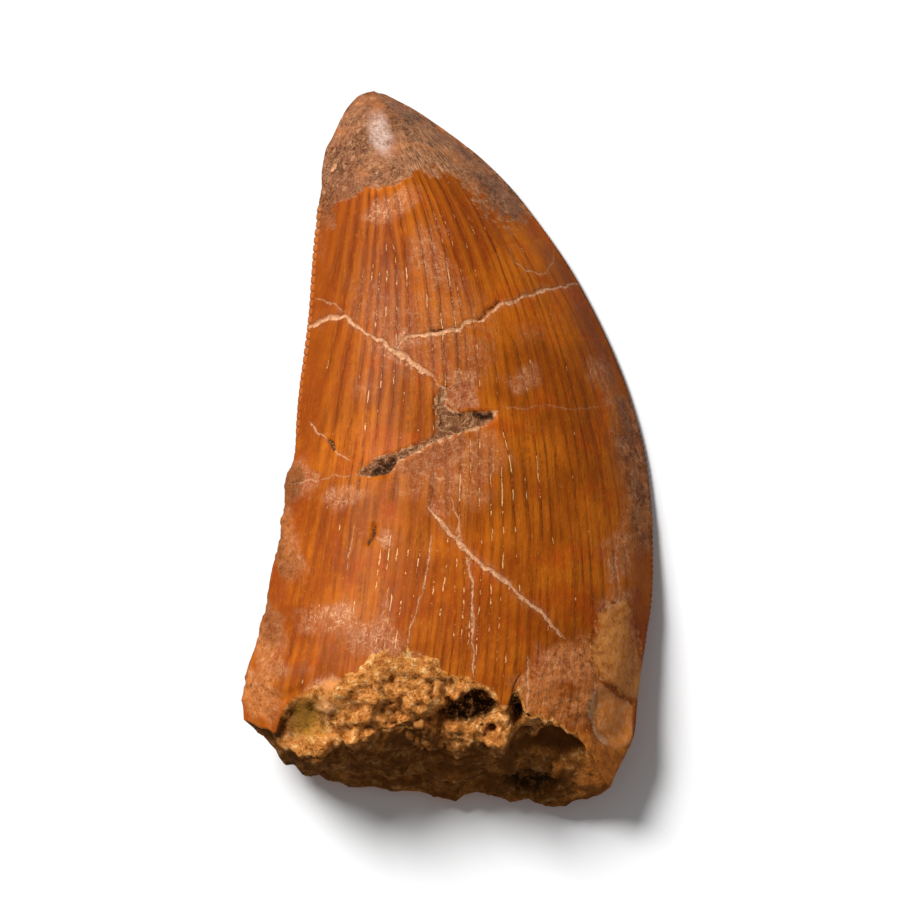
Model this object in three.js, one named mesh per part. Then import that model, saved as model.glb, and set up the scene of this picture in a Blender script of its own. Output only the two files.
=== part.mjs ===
// Fossil carcharodontosaurus tooth, one solid, in millimetres. It lies on its side on the floor z = 0:
// the tip points to +Y, the distal (rear, saw) edge runs down -X, the bowed mesial edge down +X.
import * as THREE from "three";

// Sizes that drive the rest.
const THICK = 12.6; // from side to side at the broken base
const UPPER = 0.52; // share of the thickness that lies above the two edges
const APEX_Z = 1.2; // height of the blunt apex over the floor
const ARCH = 0.3; // rise of the underside between the tip and the base
const WORN_FLAT = 0.22; // depth of the flats that it rests on: under the tip and two lobes of the base
const LOW_EDGE = 0.45; // height of the mesial edge over the floor along the upper half
const EDGE_RISE = { height: 4.5, from: 0.56, to: 1.05 }; // its rise from there to the base
const LIP = { rise: 1.5, from: 0.95 }; // lift of the underside along its last stretch before the break
const MIDDLE = 0.02; // shift along y that puts the origin under the middle of the length
const GROOVE = { depth: 0.12, width: 0.16, from: 0.5 }; // hollow along the underside, to the base
const LOBE = 0.914; // share of the lower half that the lobes beside the groove would reach
const FULLNESS = { tip: 0.95, upper: 0.66, under: 0.42 }; // power of the lens: less is fuller
const FLAT_EDGE = 0.45; // how much of the lens is planed away beside each edge
const FLAT_WIDTH = 0.9; // reach of that planing
const DISTAL = { pitch: 0.62, reach: 0.15, from: 0.16, full: 0.26, worn: 0.62, end: 0.8, least: 0.25 };
const MESIAL = { pitch: 0.5, reach: 0.1, from: 0.3, full: 0.6, worn: 0.97, end: 1, least: 0.2 };
const SHOULDER = [0.1, 0.64, 0.82]; // the two shoulders of a denticle and the slot behind it, in pitches

// Mesh counts.
const ROWS = 66;
const TOP_COLUMNS = 30;
const UNDER_COLUMNS = 16;
const BREAK_RINGS = 17;

// The drawing plane of the outline leans ten degrees back from the vertical view.
const LEAN = THREE.MathUtils.degToRad(10);
const planY = (p) => p.y * Math.cos(LEAN) + p.z * Math.sin(LEAN);

// Edge lines from the apex to the base.
const DISTAL_LINE = [
  [-5.75, 27.3], [-6.45, 27.2], [-6.95, 26.85], [-7.7, 25.9], [-8.5, 24.3], [-9.15, 22.7], [-9.65, 19.5],
  [-10.05, 16], [-10.35, 11.7], [-10.7, 7.8], [-11.15, 4.3], [-11.45, 0.8], [-11.6, -1.5], [-12.1, -3],
  [-12.4, -6.2], [-12.7, -8.2], [-13.15, -10], [-13.8, -13.4], [-14.4, -15.9], [-15.1, -17.9],
  [-15.4, -19.7], [-15.35, -21.3],
];
const MESIAL_LINE = [
  [-5.75, 27.3], [-5, 27.3], [-4.3, 27], [-3.7, 26.7], [-2.6, 26.1], [0.15, 24.2], [2.4, 22.4], [4.7, 20.09],
  [6.95, 17.18], [9.2, 13.86], [11.45, 9.63], [13.15, 5.64], [14.3, 2.07], [14.95, -0.77], [15.3, -3.9],
  [15.45, -7.9], [15.35, -11.95], [14.9, -15.18], [14.35, -19.25], [14.1, -22.26], [13.45, -23.9],
  [12.6, -25.6], [12.2, -26.6],
];

// Where the enamel ends above and below, as [share of the way from distal to mesial, y].
const UPPER_RIM = [
  [0, -21.3], [0.03, -22.1], [0.06, -22.8], [0.085, -23.3], [0.105, -21.4], [0.14, -20.5], [0.2, -19.7],
  [0.26, -20.3], [0.33, -19.5], [0.4, -18.6], [0.44, -18.1], [0.46, -19.4], [0.52, -19.2], [0.6, -19.4],
  [0.66, -19.9], [0.685, -20.1], [0.705, -21.5], [0.722, -21], [0.734, -20], [0.75, -20.1],
  [0.764, -22.2], [0.86, -22.4], [0.93, -24], [1, -26.6],
];
const UNDER_RIM = [
  [0, -21.3], [0.04, -22.2], [0.085, -23.2], [0.1, -23.8], [0.16, -25], [0.21, -25.2], [0.25, -25.6],
  [0.38, -26.2], [0.5, -26.6], [0.57, -27.1], [0.65, -26.3], [0.75, -27.1], [0.82, -27.4], [0.9, -27.3],
  [0.95, -27.3], [1, -26.6],
];

// Where the break folds from its bevel to its steep face, as [x, height on the drawing plane].
const FOLD_LINE = [
  [-15, -22.5], [-12.9, -22.9], [-11.6, -23.5], [-9.6, -23.4], [-7.8, -22], [-5, -20.95], [-3.6, -20.7],
  [-0.6, -19.8], [0.5, -21.2], [2.5, -22], [4.3, -21.8], [5.5, -20.8], [7, -20.9], [9, -21.3], [11, -22.3],
  [12.4, -24.5],
];
const FOLD_UP = 0.84; // share of the way up the break where the fold lies

// Hollows and swellings: [x, plan y, half width, half height, depth, share of it before the wall starts].
// A negative depth stands out.
const CROWN_MARKS = [
  [-5.6, -1.75, 1.5, 0.65, 0.4], [-3.4, -1.1, 1.3, 0.75, 0.35], [-1.7, 0.2, 1.2, 0.7, 0.3],
  [-0.1, 1.5, 0.9, 0.8, 0.35], [-0.7, 3.4, 0.5, 1.6, 0.3], [1.6, 2.3, 1.2, 0.55, 0.3],
  [3.1, 2.5, 0.9, 0.5, 0.3], [1.1, 4, 1.3, 1.1, 0.2], [-1.2, -0.8, 2.4, 0.9, 0.15],
  [-8.8, 0.3, 0.35, 0.35, 0.3], [-5.8, -6.4, 0.4, 0.9, 0.3], [-1.8, 8.9, 1.4, 0.7, 0.2],
  [12.4, -20.1, 1.9, 2.4, 0.35], [-12.4, -17, 2.2, 1.6, -0.25], [-9.6, 22, 0.9, 2, -0.15],
];
const BREAK_MARKS = [
  [1.5, -19.6, 2.2, 1.6, 1.9, 0.8], [9, -22.9, 2.9, 1.6, 1.4], [6.3, -25.2, 2.1, 0.8, 1.3, 0.8],
  [5.3, -19.3, 0.6, 1.4, 1.1, 0.8], [-10.6, -20.2, 1.5, 1.7, 0.4], [-4.6, -19.8, 1.3, 0.8, 0.4],
  [-9.1, -19.4, 0.75, 0.6, -0.8], [-6.2, -21.9, 1.8, 0.8, -0.5], [-1.8, -21.4, 1.5, 0.9, -0.6],
  [0.5, -26.4, 1.4, 0.7, -0.5], [6, -26.8, 1.2, 0.5, -0.5], [11.9, -24.6, 1.1, 2, -0.6],
  [-2.6, -24.5, 1.7, 1, 0.5], [3.6, -22.2, 0.9, 1.5, -0.5], [-12.4, -22.4, 1, 0.9, -0.3],
  [8.2, -24, 0.9, 0.5, -0.4],
];
const BREAK_LUMPS = 0.42; // height of the coarse grain on the break
const BREAK_HUB = [0.46, 0.55]; // share across and share up of the point the rings close on

const { lerp, smoothstep, clamp } = THREE.MathUtils;
const lineOf = (points) => {
  const curve = new THREE.CatmullRomCurve3(
    points.map(([x, y]) => new THREE.Vector3(x, y, 0)), false, "centripetal",
  );
  curve.arcLengthDivisions = 900;
  return curve;
};
const distalLine = lineOf(DISTAL_LINE);
const mesialLine = lineOf(MESIAL_LINE);
const APEX = DISTAL_LINE[0];
const [LEFT_END, RIGHT_END] = [DISTAL_LINE.at(-1), MESIAL_LINE.at(-1)];

function between(points, q) {
  const i = clamp(points.findIndex(([at]) => at >= q), 1, points.length - 1);
  const [a, ya] = points[i - 1];
  const [b, yb] = points[i];
  return lerp(ya, yb, clamp((q - a) / (b - a), 0, 1));
}

// Smooth lattice noise, about -1 to 1.
function lattice(i, j, k) {
  const h = Math.sin(i * 127.1 + j * 311.7 + k * 74.7) * 43758.5453;
  return 2 * (h - Math.floor(h)) - 1;
}
function noise(x, y, z) {
  const cell = [x, y, z].map(Math.floor);
  const [u, v, w] = [x, y, z].map((c, n) => smoothstep(c - cell[n], 0, 1));
  const at = (a, b, c) => lattice(cell[0] + a, cell[1] + b, cell[2] + c);
  const face = (c) => lerp(lerp(at(0, 0, c), at(1, 0, c), u), lerp(at(0, 1, c), at(1, 1, c), u), v);
  return lerp(face(0), face(1), w);
}

const thickness = (s) => THICK * (1 - (1 - s) ** 2) ** 0.62;
const nearApex = (s) => Math.max(0, 1 - s / 0.05) ** 2;
const underLine = (s) => APEX_Z * nearApex(s) + ARCH * Math.sin(Math.PI * s) - WORN_FLAT;
const distalHeight = (s) => underLine(s) + (1 - UPPER) * thickness(s);
const mesialHeight = (s) =>
  lerp(LOW_EDGE, APEX_Z - WORN_FLAT, nearApex(s)) +
  EDGE_RISE.height * smoothstep(s, EDGE_RISE.from, EDGE_RISE.to);
const edgeHeight = (s, q) => lerp(distalHeight(s), mesialHeight(s), q * q);

function marks(list, x, y) {
  return list.reduce((sum, [mx, my, rx, ry, depth, firm = 0.55]) => {
    const r = Math.hypot((x - mx) / rx, (y - my) / ry);
    return sum + depth * (1 - smoothstep(r, firm, 1.15));
  }, 0);
}

// The crown's skin: q runs from the distal (0) to the mesial (1) edge, s from the apex (0) to the break (1).
function skin(q, s, upper) {
  const d = distalLine.getPointAt(s);
  const m = mesialLine.getPointAt(s);
  const width = d.distanceTo(m);
  let lens = (4 * q * (1 - q)) ** lerp(FULLNESS.tip, upper ? FULLNESS.upper : FULLNESS.under, s);
  lens *= 1 - FLAT_EDGE * Math.exp(-((Math.min(q, 1 - q) * width / FLAT_WIDTH) ** 2));
  if (!upper) {
    const toBase = smoothstep(s, GROOVE.from, 1);
    lens *= 1 - GROOVE.depth * toBase * Math.exp(-(((q - 0.5) / GROOVE.width) ** 2));
    lens /= lerp(1, LOBE, toBase);
  }
  const rim = upper ? UPPER_RIM : UNDER_RIM;
  const fall = between(rim, q) - lerp(LEFT_END[1], RIGHT_END[1], q);
  const edge = edgeHeight(s, q);
  const under = underLine(s) + LIP.rise * smoothstep(s, LIP.from, 1);
  const p = new THREE.Vector3(
    lerp(d.x, m.x, q),
    lerp(d.y, m.y, q) + fall * smoothstep(s, 0.62, 1),
    upper ? edge + UPPER * thickness(s) * lens : lerp(edge, under, lens),
  );
  if (upper) p.z -= marks(CROWN_MARKS, p.x, planY(p)) * (1 - smoothstep(s, 0.96, 1));
  p.z = Math.max(p.z, 0);
  return p;
}

// A line of edge points with a slot behind each denticle; worn stretches keep only a trace of them.
function sawEdge(line, side, saw) {
  const count = Math.round(line.getLength() / saw.pitch);
  const points = [];
  for (let n = 0; n < count; n++)
    SHOULDER.forEach((share, k) => {
      const s = (n + share) / count;
      const strength = smoothstep(s, saw.from, saw.full) *
        lerp(1, saw.least, smoothstep(s, saw.worn, saw.end));
      if (strength < 0.02 && k !== 1) return;
      const p = line.getPointAt(s);
      const t = line.getTangentAt(s);
      const out = (k === 2 ? -0.75 : 0.4) * saw.reach * strength * side;
      p.set(p.x - t.y * out, p.y + t.x * out, edgeHeight(s, side < 0 ? 0 : 1));
      points.push({ s, p });
    });
  return points;
}

const position = [];
const index = [];
const add = (p) => position.push(p.x, p.y, p.z) / 3 - 1;
const tri = (a, b, c, turned) => index.push(a, turned ? c : b, turned ? b : c);

// Columns crowd a little towards the edges.
const shares = (columns) =>
  Array.from({ length: columns - 1 }, (_, j) => {
    const even = (j + 1) / columns;
    return lerp(even, 0.5 - 0.5 * Math.cos(Math.PI * even), 0.6);
  });
const rowAt = Array.from({ length: ROWS }, (_, i) => ((i + 1) / ROWS) ** 1.15);

const apex = add(new THREE.Vector3(APEX[0], APEX[1], edgeHeight(0, 0)));
const corners = [add(skin(0, 1, true)), add(skin(1, 1, true))];
const edges = [sawEdge(distalLine, -1, DISTAL), sawEdge(mesialLine, 1, MESIAL)].map((points, e) => [
  { s: 0, id: apex },
  ...points.map(({ s, p }) => ({ s, id: add(p) })),
  { s: 1, id: corners[e] },
]);

// Strip of triangles between two lines of points that both run from the apex to the base.
function ladder(left, right, turned) {
  let i = 0;
  let k = 0;
  while (i < left.length - 1 || k < right.length - 1) {
    const goLeft = k === right.length - 1 || (i < left.length - 1 && left[i + 1].s <= right[k + 1].s);
    if (goLeft) tri(left[i].id, left[++i].id, right[k].id, turned);
    else tri(left[i].id, right[k + 1].id, right[k++].id, turned);
  }
}

const rims = [true, false].map((upper) => {
  const qs = shares(upper ? TOP_COLUMNS : UNDER_COLUMNS);
  const rows = rowAt.map((s) => qs.map((q) => add(skin(q, s, upper))));
  const column = (j) => rows.map((row, i) => ({ s: rowAt[i], id: row[j] }));
  ladder(edges[0], column(0), !upper);
  ladder(column(qs.length - 1), edges[1], !upper);
  for (let j = 0; j + 1 < qs.length; j++) {
    tri(apex, rows[0][j], rows[0][j + 1], !upper);
    for (let i = 0; i + 1 < ROWS; i++) {
      tri(rows[i][j], rows[i + 1][j], rows[i + 1][j + 1], !upper);
      tri(rows[i][j], rows[i + 1][j + 1], rows[i][j + 1], !upper);
    }
  }
  return rows[ROWS - 1].map((id, j) => ({ id, q: qs[j] }));
});

// The break: rings that shrink from its rim onto one point. A bevel runs from the upper rim to the fold
// and a steep face from there to the lower rim, with lumps, pits and small swellings.
function fracture(x, z, inward) {
  const q = clamp((x - LEFT_END[0]) / (RIGHT_END[0] - LEFT_END[0]), 0, 1);
  const above = skin(q, 1, true);
  const below = skin(q, 1, false);
  const up = clamp((z - below.z) / Math.max(above.z - below.z, 0.01), 0, 1);
  const foldAt = (between(FOLD_LINE, x) - FOLD_UP * above.z * Math.sin(LEAN)) / Math.cos(LEAN);
  const fold = clamp(foldAt, below.y, above.y);
  const face = lerp(below.y, fold, Math.min(up / FOLD_UP, 1));
  const bevel = (above.y - fold) * Math.max((up - FOLD_UP) / (1 - FOLD_UP), 0);
  const p = new THREE.Vector3(x, face + bevel, z);
  const grain = noise(p.x * 0.75, p.y * 0.75, p.z * 0.75) + 0.6 * noise(p.x * 1.7, p.y * 1.7, p.z * 1.7);
  const depth = (marks(BREAK_MARKS, p.x, planY(p)) - BREAK_LUMPS * grain) * smoothstep(inward, 0, 0.1);
  const slope = lerp(0.35, 1.15, smoothstep(up, FOLD_UP - 0.12, FOLD_UP + 0.04));
  p.y += depth * Math.cos(slope);
  p.z = Math.max(p.z - depth * Math.sin(slope), 0);
  return p;
}
const loop = [
  corners[0], ...rims[0].map((r) => r.id), corners[1], ...rims[1].map((r) => r.id).reverse(),
];
const rimPoint = (id) => new THREE.Vector3().fromArray(position, 3 * id);
const hubX = lerp(LEFT_END[0], RIGHT_END[0], BREAK_HUB[0]);
const hubZ = THICK * BREAK_HUB[1];
let ring = loop;
for (let k = 1; k < BREAK_RINGS; k++) {
  const t = k / BREAK_RINGS;
  const next = loop.map((id) => {
    const rim = rimPoint(id);
    return add(fracture(lerp(rim.x, hubX, t), lerp(rim.z, hubZ, t), t));
  });
  next.forEach((id, j) => {
    const j1 = (j + 1) % loop.length;
    tri(ring[j], id, next[j1], false);
    tri(ring[j], next[j1], ring[j1], false);
  });
  ring = next;
}
const hub = add(fracture(hubX, hubZ, 1));
ring.forEach((id, j) => tri(id, hub, ring[(j + 1) % ring.length], false));

const geometry = new THREE.BufferGeometry();
geometry.setAttribute("position", new THREE.Float32BufferAttribute(position, 3));
geometry.setIndex(index);
geometry.translate(0, MIDDLE, 0);
geometry.computeVertexNormals();

const enamel = new THREE.MeshStandardMaterial({ color: "#a85a22", roughness: 0.38, metalness: 0 });
const tooth = new THREE.Mesh(geometry, enamel);
tooth.name = "tooth";

const group = new THREE.Group();
group.add(tooth);
export default group;
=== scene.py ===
"""Fossil carcharodontosaurus tooth, lying on its side on plain white.

Lengths are millimetres in the model's frame until the mesh is made: the tip points to +Y, the rear saw
edge runs down -X, the bowed front edge down +X, and the floor is z = 0. One closed surface, worked out
row by row from the apex to the middle of the break, stands for the plain solid.
"""

import math

import bpy
import numpy as np
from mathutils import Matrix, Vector


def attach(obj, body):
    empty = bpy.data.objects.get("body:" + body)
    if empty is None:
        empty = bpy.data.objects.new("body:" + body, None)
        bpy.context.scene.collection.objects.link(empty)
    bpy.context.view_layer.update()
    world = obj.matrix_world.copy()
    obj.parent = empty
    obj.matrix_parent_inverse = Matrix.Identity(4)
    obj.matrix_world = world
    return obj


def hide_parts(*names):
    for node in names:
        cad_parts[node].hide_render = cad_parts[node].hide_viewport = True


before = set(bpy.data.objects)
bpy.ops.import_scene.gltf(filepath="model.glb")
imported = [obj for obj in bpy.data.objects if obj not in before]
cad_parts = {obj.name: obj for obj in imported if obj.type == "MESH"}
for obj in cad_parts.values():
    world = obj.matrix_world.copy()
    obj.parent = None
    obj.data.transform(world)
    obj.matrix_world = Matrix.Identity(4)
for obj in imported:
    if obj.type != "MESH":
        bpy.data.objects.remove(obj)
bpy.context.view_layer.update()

MM = 0.001

# Form of the crown, as in the solid. Shares are of the way from apex to break, or across from edge to edge.
THICK, THICK_POWER = 12.6, 0.62
UPPER = 0.52
APEX_Z, APEX_SHARE = 1.2, 0.05
ARCH = 0.3
WORN_FLAT = 0.22
LOW_EDGE = 0.45
EDGE_RISE, RISE_FROM, RISE_TO = 4.5, 0.56, 1.05
LIP_RISE, LIP_FROM = 1.5, 0.95
MIDDLE = 0.02
GROOVE_DEPTH, GROOVE_WIDTH, GROOVE_FROM = 0.12, 0.16, 0.5
LOBE = 0.914
FULL_TIP, FULL_UPPER, FULL_UNDER = 0.95, 0.66, 0.42
FLAT_EDGE, FLAT_WIDTH = 0.45, 0.9
RIM_FROM, NICKS_FROM = 0.62, 0.92
BROAD_RIM = (0, 0.2, 0.4, 0.6, 0.8, 1)

LENGTH = 50.0
DISTAL_LINE = [
    [-5.75, 27.3], [-6.45, 27.2], [-6.95, 26.85], [-7.7, 25.9], [-8.5, 24.3], [-9.15, 22.7],
    [-9.65, 19.5], [-10.05, 16], [-10.35, 11.7], [-10.7, 7.8], [-11.15, 4.3], [-11.45, 0.8],
    [-11.6, -1.5], [-12.1, -3], [-12.4, -6.2], [-12.7, -8.2], [-13.15, -10], [-13.8, -13.4],
    [-14.4, -15.9], [-15.1, -17.9], [-15.4, -19.7], [-15.35, -21.3],
]
MESIAL_LINE = [
    [-5.75, 27.3], [-5, 27.3], [-4.3, 27], [-3.7, 26.7], [-2.6, 26.1], [0.15, 24.2], [2.4, 22.4],
    [4.7, 20.09], [6.95, 17.18], [9.2, 13.86], [11.45, 9.63], [13.15, 5.64], [14.3, 2.07],
    [14.95, -0.77], [15.3, -3.9], [15.45, -7.9], [15.35, -11.95], [14.9, -15.18], [14.35, -19.25],
    [14.1, -22.26], [13.45, -23.9], [12.6, -25.6], [12.2, -26.6],
]
UPPER_RIM = [
    [0, -21.3], [0.03, -22.1], [0.06, -22.8], [0.085, -23.3], [0.105, -21.4], [0.14, -20.5],
    [0.2, -19.7], [0.26, -20.3], [0.33, -19.5], [0.4, -18.6], [0.44, -18.1], [0.46, -19.4],
    [0.52, -19.2], [0.6, -19.4], [0.66, -19.9], [0.685, -20.1], [0.705, -21.5], [0.722, -21],
    [0.734, -20], [0.75, -20.1], [0.764, -22.2], [0.86, -22.4], [0.93, -24], [1, -26.6],
]
UNDER_RIM = [
    [0, -21.3], [0.04, -22.2], [0.085, -23.2], [0.1, -23.8], [0.16, -25], [0.21, -25.2], [0.25, -25.6],
    [0.38, -26.2], [0.5, -26.6], [0.57, -27.1], [0.65, -26.3], [0.75, -27.1], [0.82, -27.4],
    [0.9, -27.3], [0.95, -27.3], [1, -26.6],
]

# Where the break folds from the lit bevel to the steep face: x and height on the drawing plane.
FOLD_LINE = [
    [-15, -22.5], [-12.9, -22.9], [-11.6, -23.5], [-9.6, -23.4], [-7.8, -22], [-5, -20.95], [-3.6, -20.7],
    [-0.6, -19.8], [0.5, -21.2], [2.5, -22], [4.3, -21.8], [5.5, -20.8], [7, -20.9], [9, -21.3],
    [11, -22.3], [12.4, -24.5],
]
FOLD_UP = 0.84

# Chips of the rim: waves across it, their noise, and how much larger they are where the rim is torn.
RIM_WAVES, RIM_CHIPS = 28, (0.22, 0.9, 3)
TORN, TORN_SPAN = 2.2, (0.74, 0.8, 0.92, 1)

# Grid of the surface: five rows to a rear denticle and three to a front one. Columns crowd at the edges.
ROWS = 405
TOP_COLUMNS, UNDER_COLUMNS, CROWDED = 156, 58, 0.35
BREAK_RINGS = 60
HUB_ACROSS, HUB_UP = 0.46, 0.55

# Marks are laid out on the drawing plane, which leans ten degrees back from the vertical view.
LEAN = math.radians(10)

# Cracks: route, half width, paleness of the filling, depth.
CRACKS = [
    ([[-10.6, 9.1], [-9.9, 9.5], [-8.6, 10], [-7.9, 10], [-6.9, 9.2], [-5.7, 8.5], [-4.2, 7.6],
      [-2.7, 6.5], [-1.8, 6], [-0.8, 5]], 0.15, 1.0, 0.05),
    ([[-9.9, 11.3], [-8.9, 11], [-7.9, 10.5]], 0.06, 0.6, 0.03),
    ([[-3.9, 7.6], [-3.1, 8.3], [-2.3, 8.6], [-1.5, 8.7], [-0.5, 8.8], [0.2, 9], [1, 8.9], [1.3, 9.5],
      [2.9, 9.9], [4, 10.8], [5.4, 11.4], [6.8, 12], [7.7, 12.1], [9, 12.4], [10, 12.4]], 0.12, 1.0, 0.06),
    ([[-1.7, -4.3], [-0.8, -5.2], [0.7, -6.8], [1.2, -7.4], [2.5, -8.6], [4, -9.7], [5.1, -10.8],
      [6.9, -12.1], [7.9, -13.4], [8.8, -14.2]], 0.13, 1.0, 0.04),
    ([[0.1, -3.4], [0.6, -4.6], [0.8, -5.7], [1.1, -6.8]], 0.06, 0.7, 0.03),
    ([[1.4, -8], [1.8, -10.8], [1.9, -13.5], [2, -17.1]], 0.09, 1.0, 0.05),
    ([[-1.1, -6.1], [-1.5, -8.9], [-2.3, -11.9], [-3.3, -15]], 0.05, 0.7, 0.04),
    ([[-7, -5.4], [-7.7, -9.1]], 0.04, 0.6, 0.03), ([[-9, 21.1], [-8.5, 21.7]], 0.14, 1.0, 0.02),
    ([[-4.4, -10.3], [-4.9, -12.7]], 0.04, 0.6, 0.03),
    ([[-10.5, 2.1], [-9.2, 0.8], [-8.1, -0.3], [-7.2, -0.9]], 0.06, 0.7, 0.04),
    ([[-12.1, -2.6], [-11, -2.4], [-9.9, -2.3], [-8.6, -1.9], [-7.2, -2]], 0.05, 0.5, 0.03),
    ([[3.8, 3.1], [5.9, 3.1], [7.5, 3.3], [9.8, 3.1], [12.5, 3.3]], 0.04, 0.25, 0.02),
    ([[4.5, 15.3], [4.9, 14.2], [6, 13.4], [6.8, 13.3], [7.5, 13.4], [7.9, 14.1], [7.9, 15.1]],
     0.05, 0.5, 0.03),
    ([[6, -15.5], [6, -17.4], [6, -20]], 0.07, 0.8, 0.03),
    # The last crack has no groove: its pale band is a painted highlight along the left edge of the facet.
    ([[11.1, -17.5], [10.9, -19.5], [11.2, -21.3], [12.3, -22.3]], 0.2, 0.9, 0.0),
]
# Hairline cracks with a dark bottom: route, half width.
DARK_LINES = [
    ([[2.3, 9.95], [3, 10.45], [3.9, 11]], 0.13),
    ([[-1.3, 8.95], [-0.4, 9.05]], 0.12),
    ([[3.2, 14.8], [4.4, 15.5], [5.4, 15.8], [7.4, 16]], 0.05),
    ([[4.9, 8.6], [8.5, 8.5], [11.6, 8.4]], 0.04),
    ([[-4.6, -2.1], [-3.6, -2.2], [-2.7, -2.5]], 0.06),
    ([[-5.5, -5.7], [-5.6, -6.3], [-5.9, -7.1]], 0.18),
    ([[-8.95, 0.55], [-8.7, 0.25]], 0.22),
    ([[-5.5, -1.6], [-4.9, -1.5], [-4.2, -0.9]], 0.4),
    ([[2.1, 2.75], [2.9, 2.5], [3.4, 2.6]], 0.25),
]

# Cracks of the underside, laid out the same way.
UNDER_CRACKS = [
    ([[-10.2, 6.2], [-7.4, 5], [-4.6, 5.3], [-1.7, 3.9], [1.3, 4.4], [4.6, 3], [8.1, 3.4], [11.4, 2]],
     0.12, 0.9, 0.08),
    ([[-3.6, 4.9], [-3.1, 1.2], [-3.9, -3.4], [-3.4, -8.3], [-4.2, -12.9]], 0.07, 0.7, 0.05),
    ([[3.2, -4.1], [4.4, -8.7], [4.1, -13.6], [5.2, -18.5]], 0.07, 0.8, 0.05),
    ([[-9.6, 14.2], [-6.7, 12.8], [-3.2, 13.3]], 0.06, 0.6, 0.03),
]

# Outlines of chipped, stained and filled places.
CHIP = [
    [-0.85, 4.9], [-0.1, 4.6], [-0.2, 3.4], [0.3, 2.9], [1.5, 2.8], [2.4, 2.9], [3.7, 2.9], [3.6, 2.2],
    [2.7, 1.8], [1.4, 1.4], [0.2, 0.9], [-0.8, 0.6], [-2.1, -0.2], [-3.3, -0.7], [-4.1, -1.1],
    [-4.2, -1.8], [-5.1, -1.9], [-6, -2.1], [-6.9, -2.1], [-6.9, -1.7], [-6.2, -1.2], [-5.7, -0.8],
    [-5.1, -0.4], [-3.2, 0.1], [-1.7, 0.6], [-0.9, 1.3], [-0.85, 3],
]
RED_SPALL = [[0, 4.8], [1.1, 5.1], [2, 4.9], [2.4, 3.9], [2.3, 3.1], [0.5, 2.9], [-0.2, 3.6]]
LOW_SPALL = [
    [-3.9, -1], [-2.1, -0.3], [-0.6, 0.6], [1.4, 1.2], [1.7, 0.3], [1.1, -0.6], [-0.2, -1.4],
    [-2.2, -2.1], [-3.9, -2.1],
]
TIP_EDGE = [
    [-12, 16.2], [-10, 16.5], [-9.2, 16.6], [-8.5, 16.8], [-8.2, 18.6], [-7.4, 19.1], [-6.6, 19.4],
    [-6, 19.7], [-4.4, 19.7], [-3.2, 20.5], [-2.4, 21], [-1.4, 21.2], [0.1, 20.6], [1.4, 19.7],
    [2.6, 18.5], [3.9, 17.4], [5.1, 16.9], [6.2, 17.6], [8, 19], [8, 30], [-12, 30],
]
DARK_EDGE = [
    [12.1, 3.8], [12.7, 3.3], [12.8, 1.1], [12.8, -0.5], [13.1, -1.7], [13.4, -3.2], [13.5, -5.4],
    [14, -6], [14.6, -7.7], [17, -8], [17, 4],
]
YELLOW = [
    [11.2, -12.3], [12.1, -11.5], [13.5, -11.1], [14, -12.1], [14.4, -13.9], [15.6, -18.2], [14, -19.2],
    [11.5, -17.4], [10.6, -16.2], [10.6, -14.7],
]
FACET = [[11.2, -17.4], [14, -19.2], [13.9, -21.9], [12.7, -22.6], [11.2, -21.6], [10.9, -19.7]]
SHOULDER = [[-9.8, -17.6], [-8.6, -16.9], [-7.3, -17.6], [-7, -18.3], [-8.4, -19], [-9.7, -18.9]]

# Worn, dusty and bleached patches: x, y on the plane, half width, half height, turn, strength.
HAZE = [
    [-8, -12.3, 2.6, 1.8, 0.2, 1], [-6.6, -13.5, 3, 1.6, -0.3, 0.7], [-4, 18.4, 2.4, 1.1, 0.5, 0.8],
    [-1.6, 14.6, 1.6, 3.4, 0.15, 0.5],
    [-2.6, 8.3, 1.5, 0.7, 0.2, 0.9], [-3.8, 6.9, 1.6, 0.5, -0.6, 0.8], [0.6, 5.4, 1.7, 0.6, 0, 0.7],
    [-4.7, -6.6, 0.5, 0.7, 0, 0.7], [-11.6, -7.6, 1, 3.2, 0.15, 0.4], [13, -8.6, 1.7, 1.9, 0, 0.8],
    [11.6, 5.6, 1, 1.6, 0.3, 0.6], [-0.5, -2.2, 2, 0.8, 0.1, 0.6], [8.4, -16.2, 2.2, 1.6, 0, 0.5],
    [-9.5, -18, 1.5, 0.8, 0.3, 0.7], [-9.6, 15.2, 0.6, 1.6, 0, 0.5], [12.9, -11, 1.8, 1, 0.5, 0.9],
    [-11.2, -2, 1.2, 1.6, 0, 0.6], [-7.5, -3.4, 1.6, 1, 0.2, 0.6], [5.9, 5.4, 1.3, 1.2, 0.7, 0.6],
    [-1, 9, 6, 5, 0, 0.3], [0.5, -1, 5, 3, 0, 0.4],
    [-13.4, -15.8, 1.5, 2.6, 0.2, 0.7], [7, -16.2, 1.2, 1.6, 0, 0.6], [-0.6, -4.2, 1.2, 0.9, 0, 0.5],
]
# Rough, grainy stretches of the skin: x, y on the plane, half width, half height, turn, height.
ROUGH = [
    [-12.6, -6.4, 1.2, 4.6, 0.2, 0.26], [-13.9, -13.6, 1.3, 3.8, 0.15, 0.3], [-14, -18, 2, 2, 0, 0.24],
    [-11.8, -2.2, 0.9, 1.8, 0, 0.2], [8.7, -16, 1.7, 1.6, 0.4, 0.14], [6.6, -17.6, 1.4, 2.4, 0, 0.14],
    [10.2, -15.4, 0.8, 1.8, 0.3, 0.12], [9, -19.4, 2.6, 1.9, 0, 0.14], [14, -5, 1, 3.4, 0, 0.08],
    [-3.6, -16.8, 2.4, 1.1, 0.4, 0.18], [-9.4, 18.6, 0.9, 2, 0, 0.1],
]
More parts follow.
